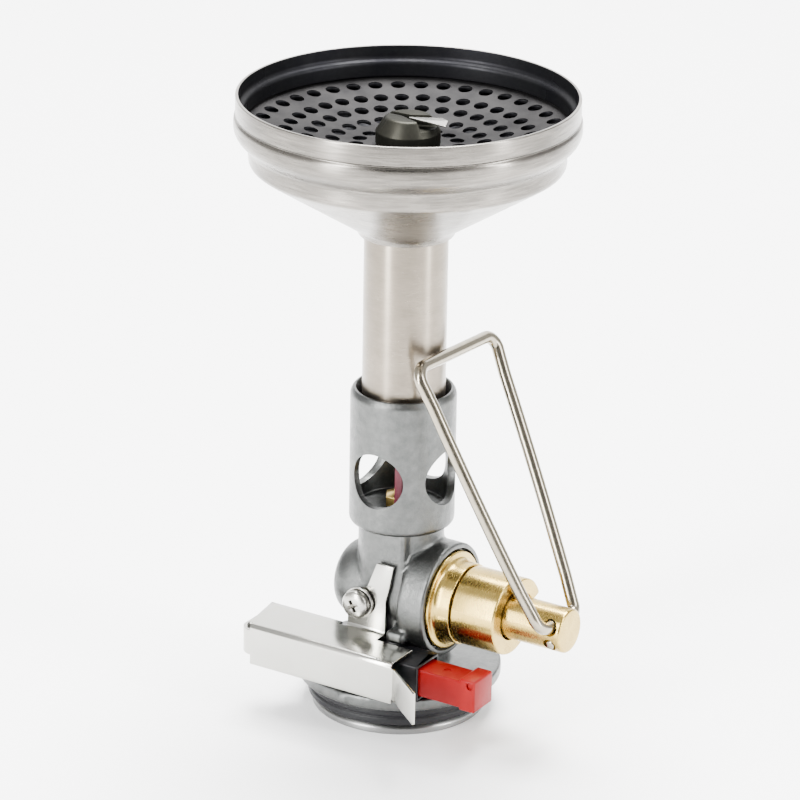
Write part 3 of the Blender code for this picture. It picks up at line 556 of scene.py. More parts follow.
@dataclass(frozen=True)
class Moulding(Finish):
    """Moulded plastic, rubber or glazed ceramic with a fine surface grain."""

    grain: float = 2400.0
    drift: float = 260.0
    relief: float = 0.2
    depth: float = 1.5e-5
    shine: float = 0.22
    metallic: ClassVar[float] = 0.0

    def paint(self, sheet: Sheet) -> None:
        """Fine grain, and tone and gloss that drift slowly."""
        grain = sheet.noise(sheet.place, self.grain, 3.0, 0.6)
        drift = sheet.noise(sheet.place, self.drift, 3.0, 0.5)
        tone = sheet.mixed(sheet.ranged(drift, 0.0, 1.0), self.colour, self.second)
        gloss = sheet.ranged(sheet.plus(grain, drift), *self.gloss, 0.7, 1.3)
        sheet.set(Base_Color=tone, Roughness=gloss, Specular_IOR_Level=self.shine)
        sheet.bump(grain, self.relief, self.depth)


HEAD_STEEL = TurnedMetal("head_steel", "stainless", (0.225, 0.208, 0.185), (0.14, 0.131, 0.118),
                         (0.22, 0.34), pitch=4200.0, relief=0.6, spread=0.75, streak=0.7)
TUBE_STEEL = TurnedMetal("tube_steel", "stainless", (0.235, 0.203, 0.162), (0.205, 0.175, 0.14),
                         (0.26, 0.36), pitch=6000.0, relief=0.2, stain=0.5, spread=0.8)
BRASS = TurnedMetal("turned_brass", "brass", (0.54, 0.385, 0.11), (0.42, 0.285, 0.07),
                    (0.22, 0.32), axis=Axis.VALVE, pitch=5000.0, relief=0.2, stain=0.5,
                    spread=0.7, streak=0.3)
SMALL_BRASS = TurnedMetal("small_brass", "brass", (0.50, 0.35, 0.11), (0.36, 0.24, 0.07),
                          (0.25, 0.38), pitch=7000.0)
RING_METAL = TurnedMetal("ring_metal", "cast_metal", (0.29, 0.29, 0.285), (0.20, 0.20, 0.20),
                         (0.28, 0.42), pitch=6000.0)
CASTING = CastMetal("casting", "cast_metal", (0.104, 0.106, 0.103), (0.076, 0.079, 0.077),
                    (0.30, 0.44))
SHEET_STEEL = SheetSteel("sheet_steel", "stainless", (0.44, 0.435, 0.40), (0.37, 0.365, 0.335),
                         (0.15, 0.26))
SCREW_STEEL = SheetSteel("screw_steel", "stainless", (0.40, 0.39, 0.36), (0.30, 0.29, 0.27),
                         (0.20, 0.33))
WIRE = PolishedWire("drawn_wire", "wire", (0.32, 0.285, 0.22), (0.25, 0.22, 0.17),
                    (0.17, 0.25))
PLATE_STEEL = HeatedSteel("plate_steel", "dark_steel", (0.020, 0.0195, 0.020),
                          (0.032, 0.031, 0.031), (0.45, 0.62))
# Near-black finish for the faces that look towards the burner's axis and for the plate's faces that don't look up,
# so these faces come out darker than the rest of the head.
DARK_INNER_STEEL = HeatedSteel("dark_inner_steel", "stainless", (0.019, 0.019, 0.0205),
                           (0.011, 0.011, 0.013), (0.34, 0.50))
CAP_STEEL = HeatedSteel("cap_steel", "dark_steel", (0.032, 0.031, 0.025),
                        (0.018, 0.018, 0.015), (0.34, 0.48), edge=0.2)
RUBBER = Moulding("ring_rubber", "rubber", (0.006, 0.006, 0.007), (0.011, 0.011, 0.012),
                  (0.42, 0.62))
BLACK_PLASTIC = Moulding("case_plastic", "black_plastic", (0.004, 0.004, 0.005),
                         (0.007, 0.007, 0.008), (0.34, 0.48))
RED_PLASTIC = Moulding("button_plastic", "red_plastic", (0.205, 0.0009, 0.002),
                       (0.165, 0.0007, 0.0015), (0.36, 0.46), relief=0.12, shine=0.13)
CERAMIC = Moulding("glazed_ceramic", "ceramic", (0.40, 0.38, 0.35), (0.33, 0.32, 0.29),
                   (0.15, 0.28))
SLEEVING = Moulding("lead_sleeving", "sleeving", (0.075, 0.012, 0.02), (0.055, 0.009, 0.015),
                    (0.38, 0.50))


def dress(item: Item, node: str, finish: Finish, body: str = STOVE,
          crease: float = 35) -> Item:
    """Finish a piece and let it stand for its CAD node.

    Args:
        item: the finished shape, at the origin.
        node: the CAD node that it stands for.
        finish: its finish.
        body: the CAD body that it rides on.
        crease: angle in degrees past which an edge stays sharp.

    Returns:
        The dressed piece.
    """
    item.name = f"{node}_look"
    item.data.name = item.name
    item.data.shade_smooth()
    item.data.set_sharp_from_angle(angle=radians(crease))
    item.data.materials.clear()
    item.data.materials.append(finish.material())
    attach(item, body)
    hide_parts(node)
    log.info("%s: %d faces, rides on %s", item.name, len(item.data.polygons), body)
    return item


def second_finish(item: Item, finish: Finish, facing: float) -> None:
    """Give a second finish to the faces that look towards the burner's axis.

    Args:
        item: the dressed piece.
        finish: the inner faces' finish.
        facing: least share of a face's normal that points at the axis.
    """
    item.data.materials.append(finish.material())
    for face in item.data.polygons:
        inward = -Vector((face.center.x, face.center.y, 0)).normalized()
        if face.normal.dot(inward) > facing:
            face.material_index = 1


# ---------------------------------------------------------------- sub-assemblies


@dataclass
class BaseRing:
    """The ring that screws on a canister, with its thread, seal, pin and rubber ring."""

    thread_r: float = 5.4e-3
    thread_pitch: float = 0.9e-3
    thread_depth: float = 0.25e-3
    thread_top: float = 7.9e-3
    wall: float = 0.8e-3
    pin_r: float = 0.9e-3
    gap: float = 0.3e-3

    def build(self) -> None:
        """Build the ring's pieces."""
        self.connector()
        self.rubber()
        self.inside()

    def connector(self) -> None:
        """Make the ring with a ridged bore in place of its thread."""
        low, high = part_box("canister_connector")
        rim = high.x
        ring_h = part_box("rubber_ring")[0].z - self.gap
        wall_r = self.thread_r + self.wall
        hole = self.pin_r + self.gap
        ridges = []
        for index in range(int(self.thread_top / self.thread_pitch) - 1):
            z = self.thread_top - (index + 0.8) * self.thread_pitch
            ridges += [Corner(self.thread_r, z),
                       Corner(self.thread_r - self.thread_depth, z - self.thread_pitch / 2)]
        outline = [
            Corner(self.thread_r + 0.3e-3, low.z), Corner(rim, low.z, 0.35e-3),
            Corner(rim, ring_h - 0.45e-3, 0.15e-3), Corner(rim - 0.5e-3, ring_h, 0.2e-3),
            Corner(wall_r, ring_h), Corner(wall_r, high.z, 0.2e-3), Corner(hole, high.z),
            Corner(hole, self.thread_top), Corner(self.thread_r, self.thread_top), *ridges,
            Corner(self.thread_r, low.z + 0.3e-3)]
        dress(solid(turn(outline, steps=160)), "canister_connector", RING_METAL)

    def rubber(self) -> None:
        """Make the rubber ring with its two soft bands."""
        low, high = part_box("rubber_ring")
        edge, inner = high.x, self.thread_r + self.wall + self.gap
        middle = (low.z + high.z) / 2
        groove = 0.28e-3
        outline = [
            Corner(inner, low.z), Corner(edge, low.z, 0.5e-3),
            Corner(edge, middle - groove, 0.15e-3), Corner(edge - groove, middle, 0.1e-3),
            Corner(edge, middle + groove, 0.15e-3), Corner(edge, high.z, 0.5e-3),
            Corner(inner, high.z)]
        dress(solid(turn(outline, steps=160)), "rubber_ring", RUBBER)

    def inside(self) -> None:
        """Make the seal and the pin that shows in the bore from below."""
        low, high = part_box("canister_seal")
        thick = (high.z - low.z) / 2
        outline = [Corner(high.x, low.z, thick), Corner(high.x, high.z, thick),
                   Corner(high.x - 2 * thick, high.z, thick),
                   Corner(high.x - 2 * thick, low.z, thick)]
        dress(solid(turn(outline, steps=64)), "canister_seal", RUBBER)
        low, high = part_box("canister_pin")
        head = high.z - 0.4e-3
        outline = [Corner(0, low.z), Corner(self.pin_r, low.z, 0.3e-3), Corner(self.pin_r, head),
                   Corner(high.x, head), Corner(high.x, high.z, 0.1e-3), Corner(0, high.z)]
        dress(solid(turn(outline, steps=48)), "canister_pin", SMALL_BRASS)


@dataclass
class Casting:
    """The cast valve body: soft where it was cast, crisp where it was machined."""

    flange_h: float = 1.9e-3
    foot_r: float = 7.1e-3
    foot_top: float = 11.0e-3
    waist_r: float = 5.9e-3
    waist_z: float = 12.1e-3
    neck_r: float = 6.0e-3
    collar_r: float = 7.37e-3
    collar_z: float = 27.5e-3
    chamber_r: float = 6.3e-3
    chamber_z: float = 29.5e-3
    air_r: float = 4.0e-3
    air_z: float = 35.5e-3
    barrel_r: float = 6.1e-3
    barrel_back: float = -4.0e-3
    dome_length: float = 4.7e-3
    boss_back: float = 4.2e-3
    boss_face: float = 8.5e-3
    boss_r: float = 8.1e-3
    lip_h: float = 0.9e-3
    lip_r: float = 6.97e-3
    sleeve_r: float = 5.3e-3
    sleeve_back: float = 3.5e-3
    passage_r: float = 2.2e-3
    passage_back: float = -4.5e-3
    jet_passage_z: float = 25.0e-3
    socket_r: float = 6.2e-3
    socket_room: float = 2.2e-3
    pad_x: tuple[float, float] = (-0.7e-3, 4.1e-3)
    lug_low: tuple[float, float, float] = (2.8e-3, -8.5e-3, 12.5e-3)
    lug_high: tuple[float, float, float] = (5.6e-3, -3.0e-3, 14.3e-3)
    nub_x: tuple[float, float] = (-1.0e-3, 0.4e-3)
    jet_stem_r: float = 1.9e-3
    jet_hole_r: float = 0.4e-3
    voxel: float = 0.26e-3
    melting: int = 5
    gap: float = 0.3e-3

    def build(self) -> None:
        """Build the casting and the jet that stands in it."""
        body = reshape(self.cast_shape(), Joining.ADD, self.collar())
        body = reshape(body, Joining.REMOVE, self.regulator_bore(), self.socket(),
                       drill(self.passage_r, self.jet_passage_z, self.chamber_z + self.gap))
        dress(body, "valve_body", CASTING, crease=50)
        self.jet()

    def cast_shape(self) -> Item:
        """Join the cast solids and melt their edges into fillets."""
        low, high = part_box("valve_body")
        flange_z, rim = low.z, high.x
        top = flange_z + self.flange_h
        base = solid(turn([
            Corner(0, flange_z), Corner(rim, flange_z, 0.3e-3), Corner(rim, top, 0.35e-3),
            Corner(self.foot_r, top, 0.6e-3), Corner(self.foot_r, self.foot_top, 0.3e-3),
            Corner(self.waist_r, self.waist_z, 0.4e-3), Corner(self.neck_r, VALVE_Z),
            Corner(self.neck_r, self.collar_z + 1e-3), Corner(0, self.collar_z + 1e-3)],
            steps=96))
        tip = self.barrel_back - self.dome_length
        barrel = solid(turn([
            Corner(0, tip), Corner(self.barrel_r * 0.93, tip, 3.6e-3),
            Corner(self.barrel_r, self.boss_back), Corner(self.boss_r, self.boss_back, 0.5e-3),
            Corner(self.boss_r, self.boss_face, 0.2e-3), Corner(0, self.boss_face)],
            Axis.VALVE.value, 96, 8))
        pad = solid(block((self.pad_x[0], -self.neck_r, VALVE_Z),
                          (self.pad_x[1], 0, self.collar_z + 1e-3), 0.5e-3))
        lug = solid(block(self.lug_low, self.lug_high, 0.5e-3, 3))
        nub = solid(block((self.nub_x[0], -rim - 0.25e-3, flange_z + 0.35e-3),
                          (self.nub_x[1], -rim + 1e-3, top - 0.45e-3), 0.1e-3))
        melted = reshape(base, Joining.ADD, barrel, pad, lug, nub)
        remesh = melted.modifiers.new("melt", "REMESH")
        remesh.mode = "VOXEL"
        remesh.voxel_size = self.voxel
        smooth = melted.modifiers.new("smooth", "SMOOTH")
        smooth.factor = 0.5
        smooth.iterations = self.melting
        return settle(melted)

    def collar(self) -> Item:
        """Make the crisp collar: a cup with a funnelled mouth and four air holes."""
        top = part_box("valve_body")[1].z
        land_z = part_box("mixing_tube")[0].z - self.gap
        land_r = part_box("mixing_tube")[1].x + self.gap
        cup = solid(turn([
            Corner(0, self.chamber_z), Corner(self.chamber_r, self.chamber_z, 0.3e-3),
            Corner(self.chamber_r, land_z), Corner(land_r, land_z),
            Corner(land_r, top - 1.2e-3, 0.2e-3), Corner(self.collar_r - 0.75e-3, top, 0.1e-3),
            Corner(self.collar_r - 0.45e-3, top, 0.2e-3),
            Corner(self.collar_r, top - 0.7e-3, 0.4e-3),
            *rungs(self.collar_r, top - 1.5e-3, self.collar_z + 2e-3, 36),
            Corner(self.collar_r, self.collar_z, 1.2e-3), Corner(0, self.collar_z)],
            steps=128, segments=5))
        reach = 2 * self.collar_r
        lay_x = Matrix.Translation((0, 0, self.air_z)) @ Matrix.Rotation(radians(90), 4, "Y")
        cup = reshape(cup, Joining.REMOVE, drill(self.air_r, -reach, reach, lay_x, 64),
                      drill(self.air_r, -reach, reach, front_axis(0, self.air_z), 64))
        return soften(cup, 0.18e-3, 3, 50)

    def regulator_bore(self) -> Item:
        """Make the tool for the stepped bore that takes the regulator."""
        lip_r = self.lip_r + self.gap
        sleeve_r = self.sleeve_r + self.gap
        floor = self.boss_face - self.lip_h - self.gap
        mouth = self.boss_face + self.gap
        return solid(turn([
            Corner(0, self.passage_back), Corner(self.passage_r, self.passage_back),
            Corner(self.passage_r, self.sleeve_back), Corner(sleeve_r, self.sleeve_back),
            Corner(sleeve_r, floor), Corner(lip_r, floor),
            Corner(lip_r, mouth - 0.5e-3, 0.1e-3), Corner(lip_r + 0.25e-3, mouth),
            Corner(0, mouth)], Axis.VALVE.value, 96))

    def socket(self) -> Item:
        """Make the tool for the socket that takes the connector."""
        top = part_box("canister_connector")[1].z
        return drill(self.socket_r + self.gap, -self.gap, top + self.socket_room, steps=96)

    def jet(self) -> None:
        """Make the hexagonal jet that shows through the air holes."""
        low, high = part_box("jet_nozzle")
        stem = solid(turn([
            Corner(0, low.z), Corner(self.jet_stem_r, low.z, 0.2e-3),
            Corner(self.jet_stem_r, self.chamber_z), Corner(0, self.chamber_z)], steps=48))
        shoulder = self.chamber_z + self.gap
        head = solid(turn([
            Corner(0, self.chamber_z - 0.5e-3), Corner(self.jet_stem_r, self.chamber_z - 0.5e-3),
            Corner(self.jet_stem_r, shoulder), Corner(high.x, shoulder, 0.1e-3),
            Corner(high.x, high.z - 1.3e-3, 0.15e-3), Corner(high.x * 0.55, high.z - 0.9e-3),
            Corner(high.x * 0.4, high.z, 0.1e-3), Corner(0, high.z)], steps=6))
        hole = drill(self.jet_hole_r, high.z - 1e-3, high.z + 1e-3, steps=24)
        jet = reshape(reshape(stem, Joining.ADD, head), Joining.REMOVE, hole)
        dress(jet, "jet_nozzle", SMALL_BRASS, crease=30)


@dataclass
class Regulator:
    """The brass bonnet, the spring housing with its stop, and the spindle."""

    lip_h: float = Casting.lip_h
    boss_face: float = Casting.boss_face
    sleeve_r: float = Casting.sleeve_r
    bore_r: float = 4.5e-3
    housing_root_r: float = 4.2e-3
    spring_r: float = 3.6e-3
    end_wall: float = 1.2e-3
    spindle_r: float = 3.13e-3
    bonnet_r: float = 5.75e-3
    housing_r: float = 5.58e-3
    housing_front: float = 18.4e-3
    stop_from: float = radians(20)
    stop_sweep: float = radians(80)
    hole_r: float = 1.025e-3
    pin_hole_r: float = 0.95e-3
    pin_hole_x: float = 25.8e-3
    pin_hole_drop: float = 1.5e-3
    gap: float = 0.3e-3

    def build(self) -> None:
        """Build the brass pieces."""
        self.bonnet()
        self.housing()
        self.spindle()
        self.pin()

    def bonnet(self) -> None:
        """Make the ring with the curved root that seats in the boss."""
        low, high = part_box("bonnet_ring")
        lip_r = high.y
        face = self.boss_face
        dress(solid(turn([
            Corner(self.bore_r, low.x), Corner(self.sleeve_r, low.x),
            Corner(self.sleeve_r, face - self.lip_h), Corner(lip_r, face - self.lip_h),
            Corner(lip_r, face + 0.25e-3, 0.25e-3),
            Corner(self.bonnet_r, face + 0.35e-3, 1.1e-3),
            Corner(self.bonnet_r, high.x, 0.12e-3), Corner(self.bore_r, high.x)],
            Axis.VALVE.value, 128, 8)), "bonnet_ring", BRASS)

    def housing(self) -> None:
        """Make the spring housing and the raised stop on its end."""
        low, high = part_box("spring_housing")
        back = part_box("bonnet_ring")[1].x + self.gap
        front, hole_r = self.housing_front, self.spindle_r + self.gap
        inside = front - self.end_wall
        tube = solid(turn([
            Corner(self.spring_r, low.x), Corner(self.housing_root_r, low.x),
            Corner(self.housing_root_r, back), Corner(self.housing_r, back, 0.15e-3),
            Corner(self.housing_r, front, 0.35e-3), Corner(hole_r, front, 0.1e-3),
            Corner(hole_r, inside), Corner(self.spring_r, inside)], Axis.VALVE.value))
        inner, outer = self.spindle_r + 0.45e-3, self.housing_r
        bm = bmesh.new()
        corners = ((inner, front - 0.6e-3), (outer, front - 0.6e-3), (outer, high.x),
                   (inner, high.x))
        face = bm.faces.new([bm.verts.new((radius, 0, z)) for radius, z in corners])
        bmesh.ops.spin(bm, geom=[face, *face.edges, *face.verts], cent=(0, 0, 0),
                       axis=(0, 0, 1), angle=self.stop_sweep, steps=24)
        turned = Matrix.Rotation(radians(90) + self.stop_from, 4, "Z")
        bmesh.ops.transform(bm, matrix=Axis.VALVE.value @ turned, verts=bm.verts)
        stop = soften(solid(bm), 0.25e-3, 3, 50)
        dress(reshape(tube, Joining.ADD, stop), "spring_housing", BRASS)

    def spindle(self) -> None:
        """Make the spindle with its two cross holes."""
        low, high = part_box("spindle")
        radius, collar_end = self.spindle_r, self.housing_front - 1.5e-3
        rod = solid(turn([
            Corner(0, low.x), Corner(high.y, low.x), Corner(high.y, collar_end),
            Corner(radius, collar_end),
            *rungs(radius, self.housing_front - 1e-3, high.x - 1e-3, 24),
            Corner(radius, high.x, 0.4e-3), Corner(0, high.x)], Axis.VALVE.value, 96, 5))
        hinge = Handle().pivot_place()
        cone = [Corner(0, radius - 0.35e-3), Corner(self.hole_r, radius - 0.35e-3),
                Corner(self.hole_r + 0.6e-3, radius + 0.4e-3), Corner(0, radius + 0.4e-3)]
        pin_place = front_axis(self.pin_hole_x, VALVE_Z - self.pin_hole_drop)
        rod = reshape(rod, Joining.REMOVE, drill(self.hole_r, -0.01, 0.01, hinge),
                      drill(self.pin_hole_r, 0.8e-3, 0.01, pin_place),
                      solid(turn(cone, hinge, 48)))
        dress(rod, "spindle", BRASS, "spindle", 30)

    def pin(self) -> None:
        """Make the wire end in the spindle's lower hole."""
        low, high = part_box("spindle_pin")
        radius = (high.z - low.z) / 2
        place = front_axis(self.pin_hole_x, VALVE_Z - self.pin_hole_drop)
        dress(solid(turn([
            Corner(0, -high.y), Corner(radius, -high.y), Corner(radius, -low.y, 0.3e-3),
            Corner(0, -low.y)], place, 32)), "spindle_pin", WIRE, "spindle")


@dataclass
class Handle:
    """The folding wire handle, bent from one length of wire."""

    wire_r: float = 0.875e-3
    bar_x: float = 7.0e-3
    bar_z: float = 53.4e-3
    bar_half: float = 10.0e-3
    leg_front: float = 5.6e-3
    leg_back: float = 4.45e-3
    hook_reach: float = 3.15e-3
    corner_r: float = 2.0e-3
    bow: float = 0.35e-3
    hook_end: float = 0.95e-3

    def pivot(self) -> tuple[Vector, Vector]:
        """Return the pivot's place and the way its front end points."""
        joint = next(j for j in frame["joints"] if j["name"] == "handle_fold")
        return Vector(joint["pos_m"]), -Vector(joint["axis"]).normalized()

    def pivot_place(self) -> Matrix:
        """Return the place that lays the height axis on the pivot."""
        point, front = self.pivot()
        turned = Vector((0, 0, 1)).rotation_difference(front).to_matrix().to_4x4()
        return Matrix.Translation(point) @ turned

    def half(self, leg: float, length: float) -> list[tuple[float, float]]:
        """Return one side of the wire, from its hook to the bar.

        Args:
            leg: the side's distance from the middle at the pivot.
            length: height of the bar above the pivot along the legs.

        Returns:
            Points across and up.
        """
        bend = leg - self.hook_reach
        points = [(self.hook_end, 0.0)]
        points += [(self.hook_reach + bend * sin(radians(angle)),
                    bend - bend * cos(radians(angle))) for angle in range(0, 91, 9)]
        slope = (self.bar_half - leg) / length
        for step in range(1, 10):
            rise = bend + (length - self.corner_r - bend) * step / 10
            points.append((leg + slope * rise + self.bow * sin(step / 10 * pi), rise))
        points += [(self.bar_half - self.corner_r + self.corner_r * cos(radians(angle)),
                    length - self.corner_r + self.corner_r * sin(radians(angle)))
                   for angle in range(0, 91, 9)]
        return points

    def build(self) -> None:
        """Bend the wire."""
        point, front = self.pivot()
        lean = Vector((self.bar_x - point.x, 0, self.bar_z - point.z))
        up = (lean - front * lean.dot(front)).normalized()
        route = self.half(self.leg_front, lean.length)
        route += [(-across, rise) for across, rise in
                  reversed(self.half(self.leg_back, lean.length))]
        line = [point + front * across + up * rise for across, rise in route]
        dress(wire_along(line, self.wire_r), "wire_handle", WIRE, "handle", 60)


@dataclass
class BurnerHead:
    """The mixing tube, bowl, rim, port plate, centre cap and spark tab."""

    tube_wall: float = 0.45e-3
    wall: float = 0.5e-3
    band_r: float = 21.5e-3
    cone_r: float = 20.3e-3
    cone_rise: float = 9.45e-3
    band_rise: float = 12.5e-3
    rim_wall: float = 0.45e-3
    flat_r: float = 9.0e-3
    plate_rise: float = 2.65e-3
    plate_h: float = 0.5e-3
    port_r: float = 0.97e-3
    port_rings: tuple[tuple[float, int, float], ...] = (
        (7.0e-3, 18, 0.5), (10.3e-3, 24, 0.5), (13.5e-3, 30, 0.5), (16.6e-3, 36, 0.5),
        (20.2e-3, 40, 0.0))
    centre_r: float = 1.6e-3
    cap_top_r: float = 3.06e-3
    skirt: float = 1.75e-3
    slot_half: float = 0.5e-3
    slot_h: float = 0.9e-3
    notch_h: float = 1.3e-3
    notch_from: Point = (-0.9e-3, -0.5e-3)
    notch_to: Point = (0.1e-3, 0.6e-3)
    notch_outer_y: tuple[float, float] = (-2.9e-3, 3.4e-3)
    blade: tuple[Point, ...] = ((0.2e-3, -0.15e-3), (6.3e-3, -0.7e-3), (5.35e-3, 1.45e-3),
                                (4.1e-3, 2.15e-3), (0.2e-3, 0.15e-3))
    blade_h: float = 0.25e-3
    gap: float = 0.3e-3

    def build(self) -> None:
        """Build the head from the tube up."""
        self.tube()
        self.bowl()
        self.rim()
        self.plate()
        self.cap()
        self.tab()

    def tube(self) -> None:
        """Make the mixing tube."""
        low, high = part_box("mixing_tube")
        inner = high.x - self.tube_wall
        dress(solid(turn([
            Corner(inner, low.z), Corner(high.x, low.z, 0.1e-3), Corner(high.x, high.z, 0.1e-3),
            Corner(inner, high.z)])), "mixing_tube", TUBE_STEEL)

    def bowl_outline(self) -> list[Corner]:
        """Return the bowl's outer outline from its neck to its mouth."""
        low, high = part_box("burner_bowl")
        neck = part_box("mixing_tube")[1].x + self.gap
        cone_top = low.z + self.cone_rise
        band_top = low.z + self.band_rise
        bulge = high.x
        return [
            Corner(neck + self.wall, low.z), Corner(neck + 0.95e-3, low.z + 0.9e-3, 0.8e-3),
            Corner(self.cone_r + 0.4e-3, cone_top + 0.1e-3, 0.5e-3),
            Corner(self.band_r, cone_top + 0.7e-3, 0.6e-3),
            Corner(self.band_r, band_top, 0.5e-3),
            Corner(bulge, band_top + 1.75e-3, 1.2e-3),
            Corner(bulge, high.z - 0.45e-3, 0.6e-3),
            Corner(bulge - 0.3e-3, high.z - 0.12e-3, 0.1e-3),
            Corner(bulge - 0.3e-3, high.z)]

    def bowl(self) -> None:
        """Make the pressed bowl."""
        outer = self.bowl_outline()
        inner = [Corner(radius - self.wall, height + (0.35e-3 if height < outer[3].height else 0),
                        fillet) for radius, height, fillet in reversed(outer)]
        bowl = solid(turn([*outer, *inner], steps=192, segments=6))
        second_finish(dress(bowl, "burner_bowl", HEAD_STEEL), DARK_INNER_STEEL, 0.2)

    def rim(self) -> None:
        """Make the ring that closes the bowl's edge."""
        low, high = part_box("rim_ring")
        edge = high.x
        band_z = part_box("burner_bowl")[1].z + self.gap
        skirt_r = edge - self.wall - self.gap
        seam = 0.24e-3
        ring = dress(solid(turn([
            Corner(skirt_r - self.rim_wall, low.z), Corner(skirt_r, low.z),
            Corner(skirt_r, band_z - seam), Corner(edge, band_z - seam, 0.12e-3),
            Corner(edge, high.z, 0.16e-3), Corner(edge - self.rim_wall, high.z, 0.12e-3),
            Corner(edge - self.rim_wall, band_z + 0.6e-3, 0.4e-3),
            Corner(skirt_r - self.rim_wall, band_z + 0.2e-3, 0.4e-3)],
            steps=192)), "rim_ring", HEAD_STEEL)
        second_finish(ring, DARK_INNER_STEEL, 0.3)

    def plate_height(self, radius: float) -> float:
        """Return the height of the plate's top at a distance from the centre."""
        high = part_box("burner_plate")[1]
        share = max(0.0, radius - self.flat_r) / (high.x - self.flat_r)
        return high.z - self.plate_rise * (1 - share)

    def plate(self) -> None:
        """Make the dished plate with its rings of countersunk ports."""
        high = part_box("burner_plate")[1]
        flat_z, under = high.z - self.plate_rise, high.z - self.plate_rise - self.plate_h
        sheet = solid(turn([
            Corner(self.centre_r, flat_z), Corner(self.flat_r, flat_z, 1.2e-3),
            Corner(high.x, high.z), Corner(high.x, high.z - self.plate_h),
            Corner(self.flat_r, under, 1.2e-3), Corner(self.centre_r, under)], steps=160))
        sink = 0.06e-3
        outline = [Corner(0, -3 * self.plate_h), Corner(self.port_r, -3 * self.plate_h),
                   Corner(self.port_r, -sink), Corner(self.port_r + sink, sink / 4),
                   Corner(self.port_r + sink, 3 * self.plate_h), Corner(0, 3 * self.plate_h)]
        ports = bmesh.new()
        for radius, count, phase in self.port_rings:
            for index in range(count):
                turned = Matrix.Rotation(tau * (index + phase) / count, 4, "Z")
                place = turned @ Matrix.Translation((radius, 0, self.plate_height(radius)))
                mesh = pour(turn(outline, place, 20))
                ports.from_mesh(mesh)
                bpy.data.meshes.remove(mesh)
        plate = dress(reshape(sheet, Joining.REMOVE, solid(ports)), "burner_plate", PLATE_STEEL)
        plate.data.materials.append(DARK_INNER_STEEL.material())
        for face in plate.data.polygons:
            # The plate's port walls, countersinks and underside take the darker inner finish.
            face.material_index = int(face.normal.z < 0.8)

    def cap(self) -> None:
        """Make the slotted centre cap."""
        low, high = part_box("centre_cap")
        bore, top = self.centre_r, high.z + 1e-3
        roof = low.z + self.skirt + 0.6e-3
        cap = solid(turn([
            Corner(0, high.z), Corner(self.cap_top_r, high.z, 0.4e-3),
            Corner(high.x, low.z + self.skirt, 0.1e-3), Corner(high.x, low.z, 0.15e-3),
            Corner(bore, low.z), Corner(bore, roof), Corner(0, roof)], steps=96))
        slot = solid(block((-high.x, -self.slot_half, high.z - self.slot_h),
                           (0, self.slot_half, top)))
        outer = [(high.x + 1e-3, y) for y in self.notch_outer_y]
        notch = solid(slab([self.notch_from, *outer, self.notch_to], high.z - self.notch_h, top))
        cap = reshape(cap, Joining.REMOVE, slot, notch)
        dress(soften(cap, 0.06e-3, 2, 50), "centre_cap", CAP_STEEL)

    def tab(self) -> None:
        """Make the bright spark tab, a thin blade that widens outward over the notch."""
        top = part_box("spark_tab")[1].z
        blade = solid(slab(self.blade, top - self.blade_h, top))
        dress(soften(blade, 0.05e-3), "spark_tab", SCREW_STEEL)


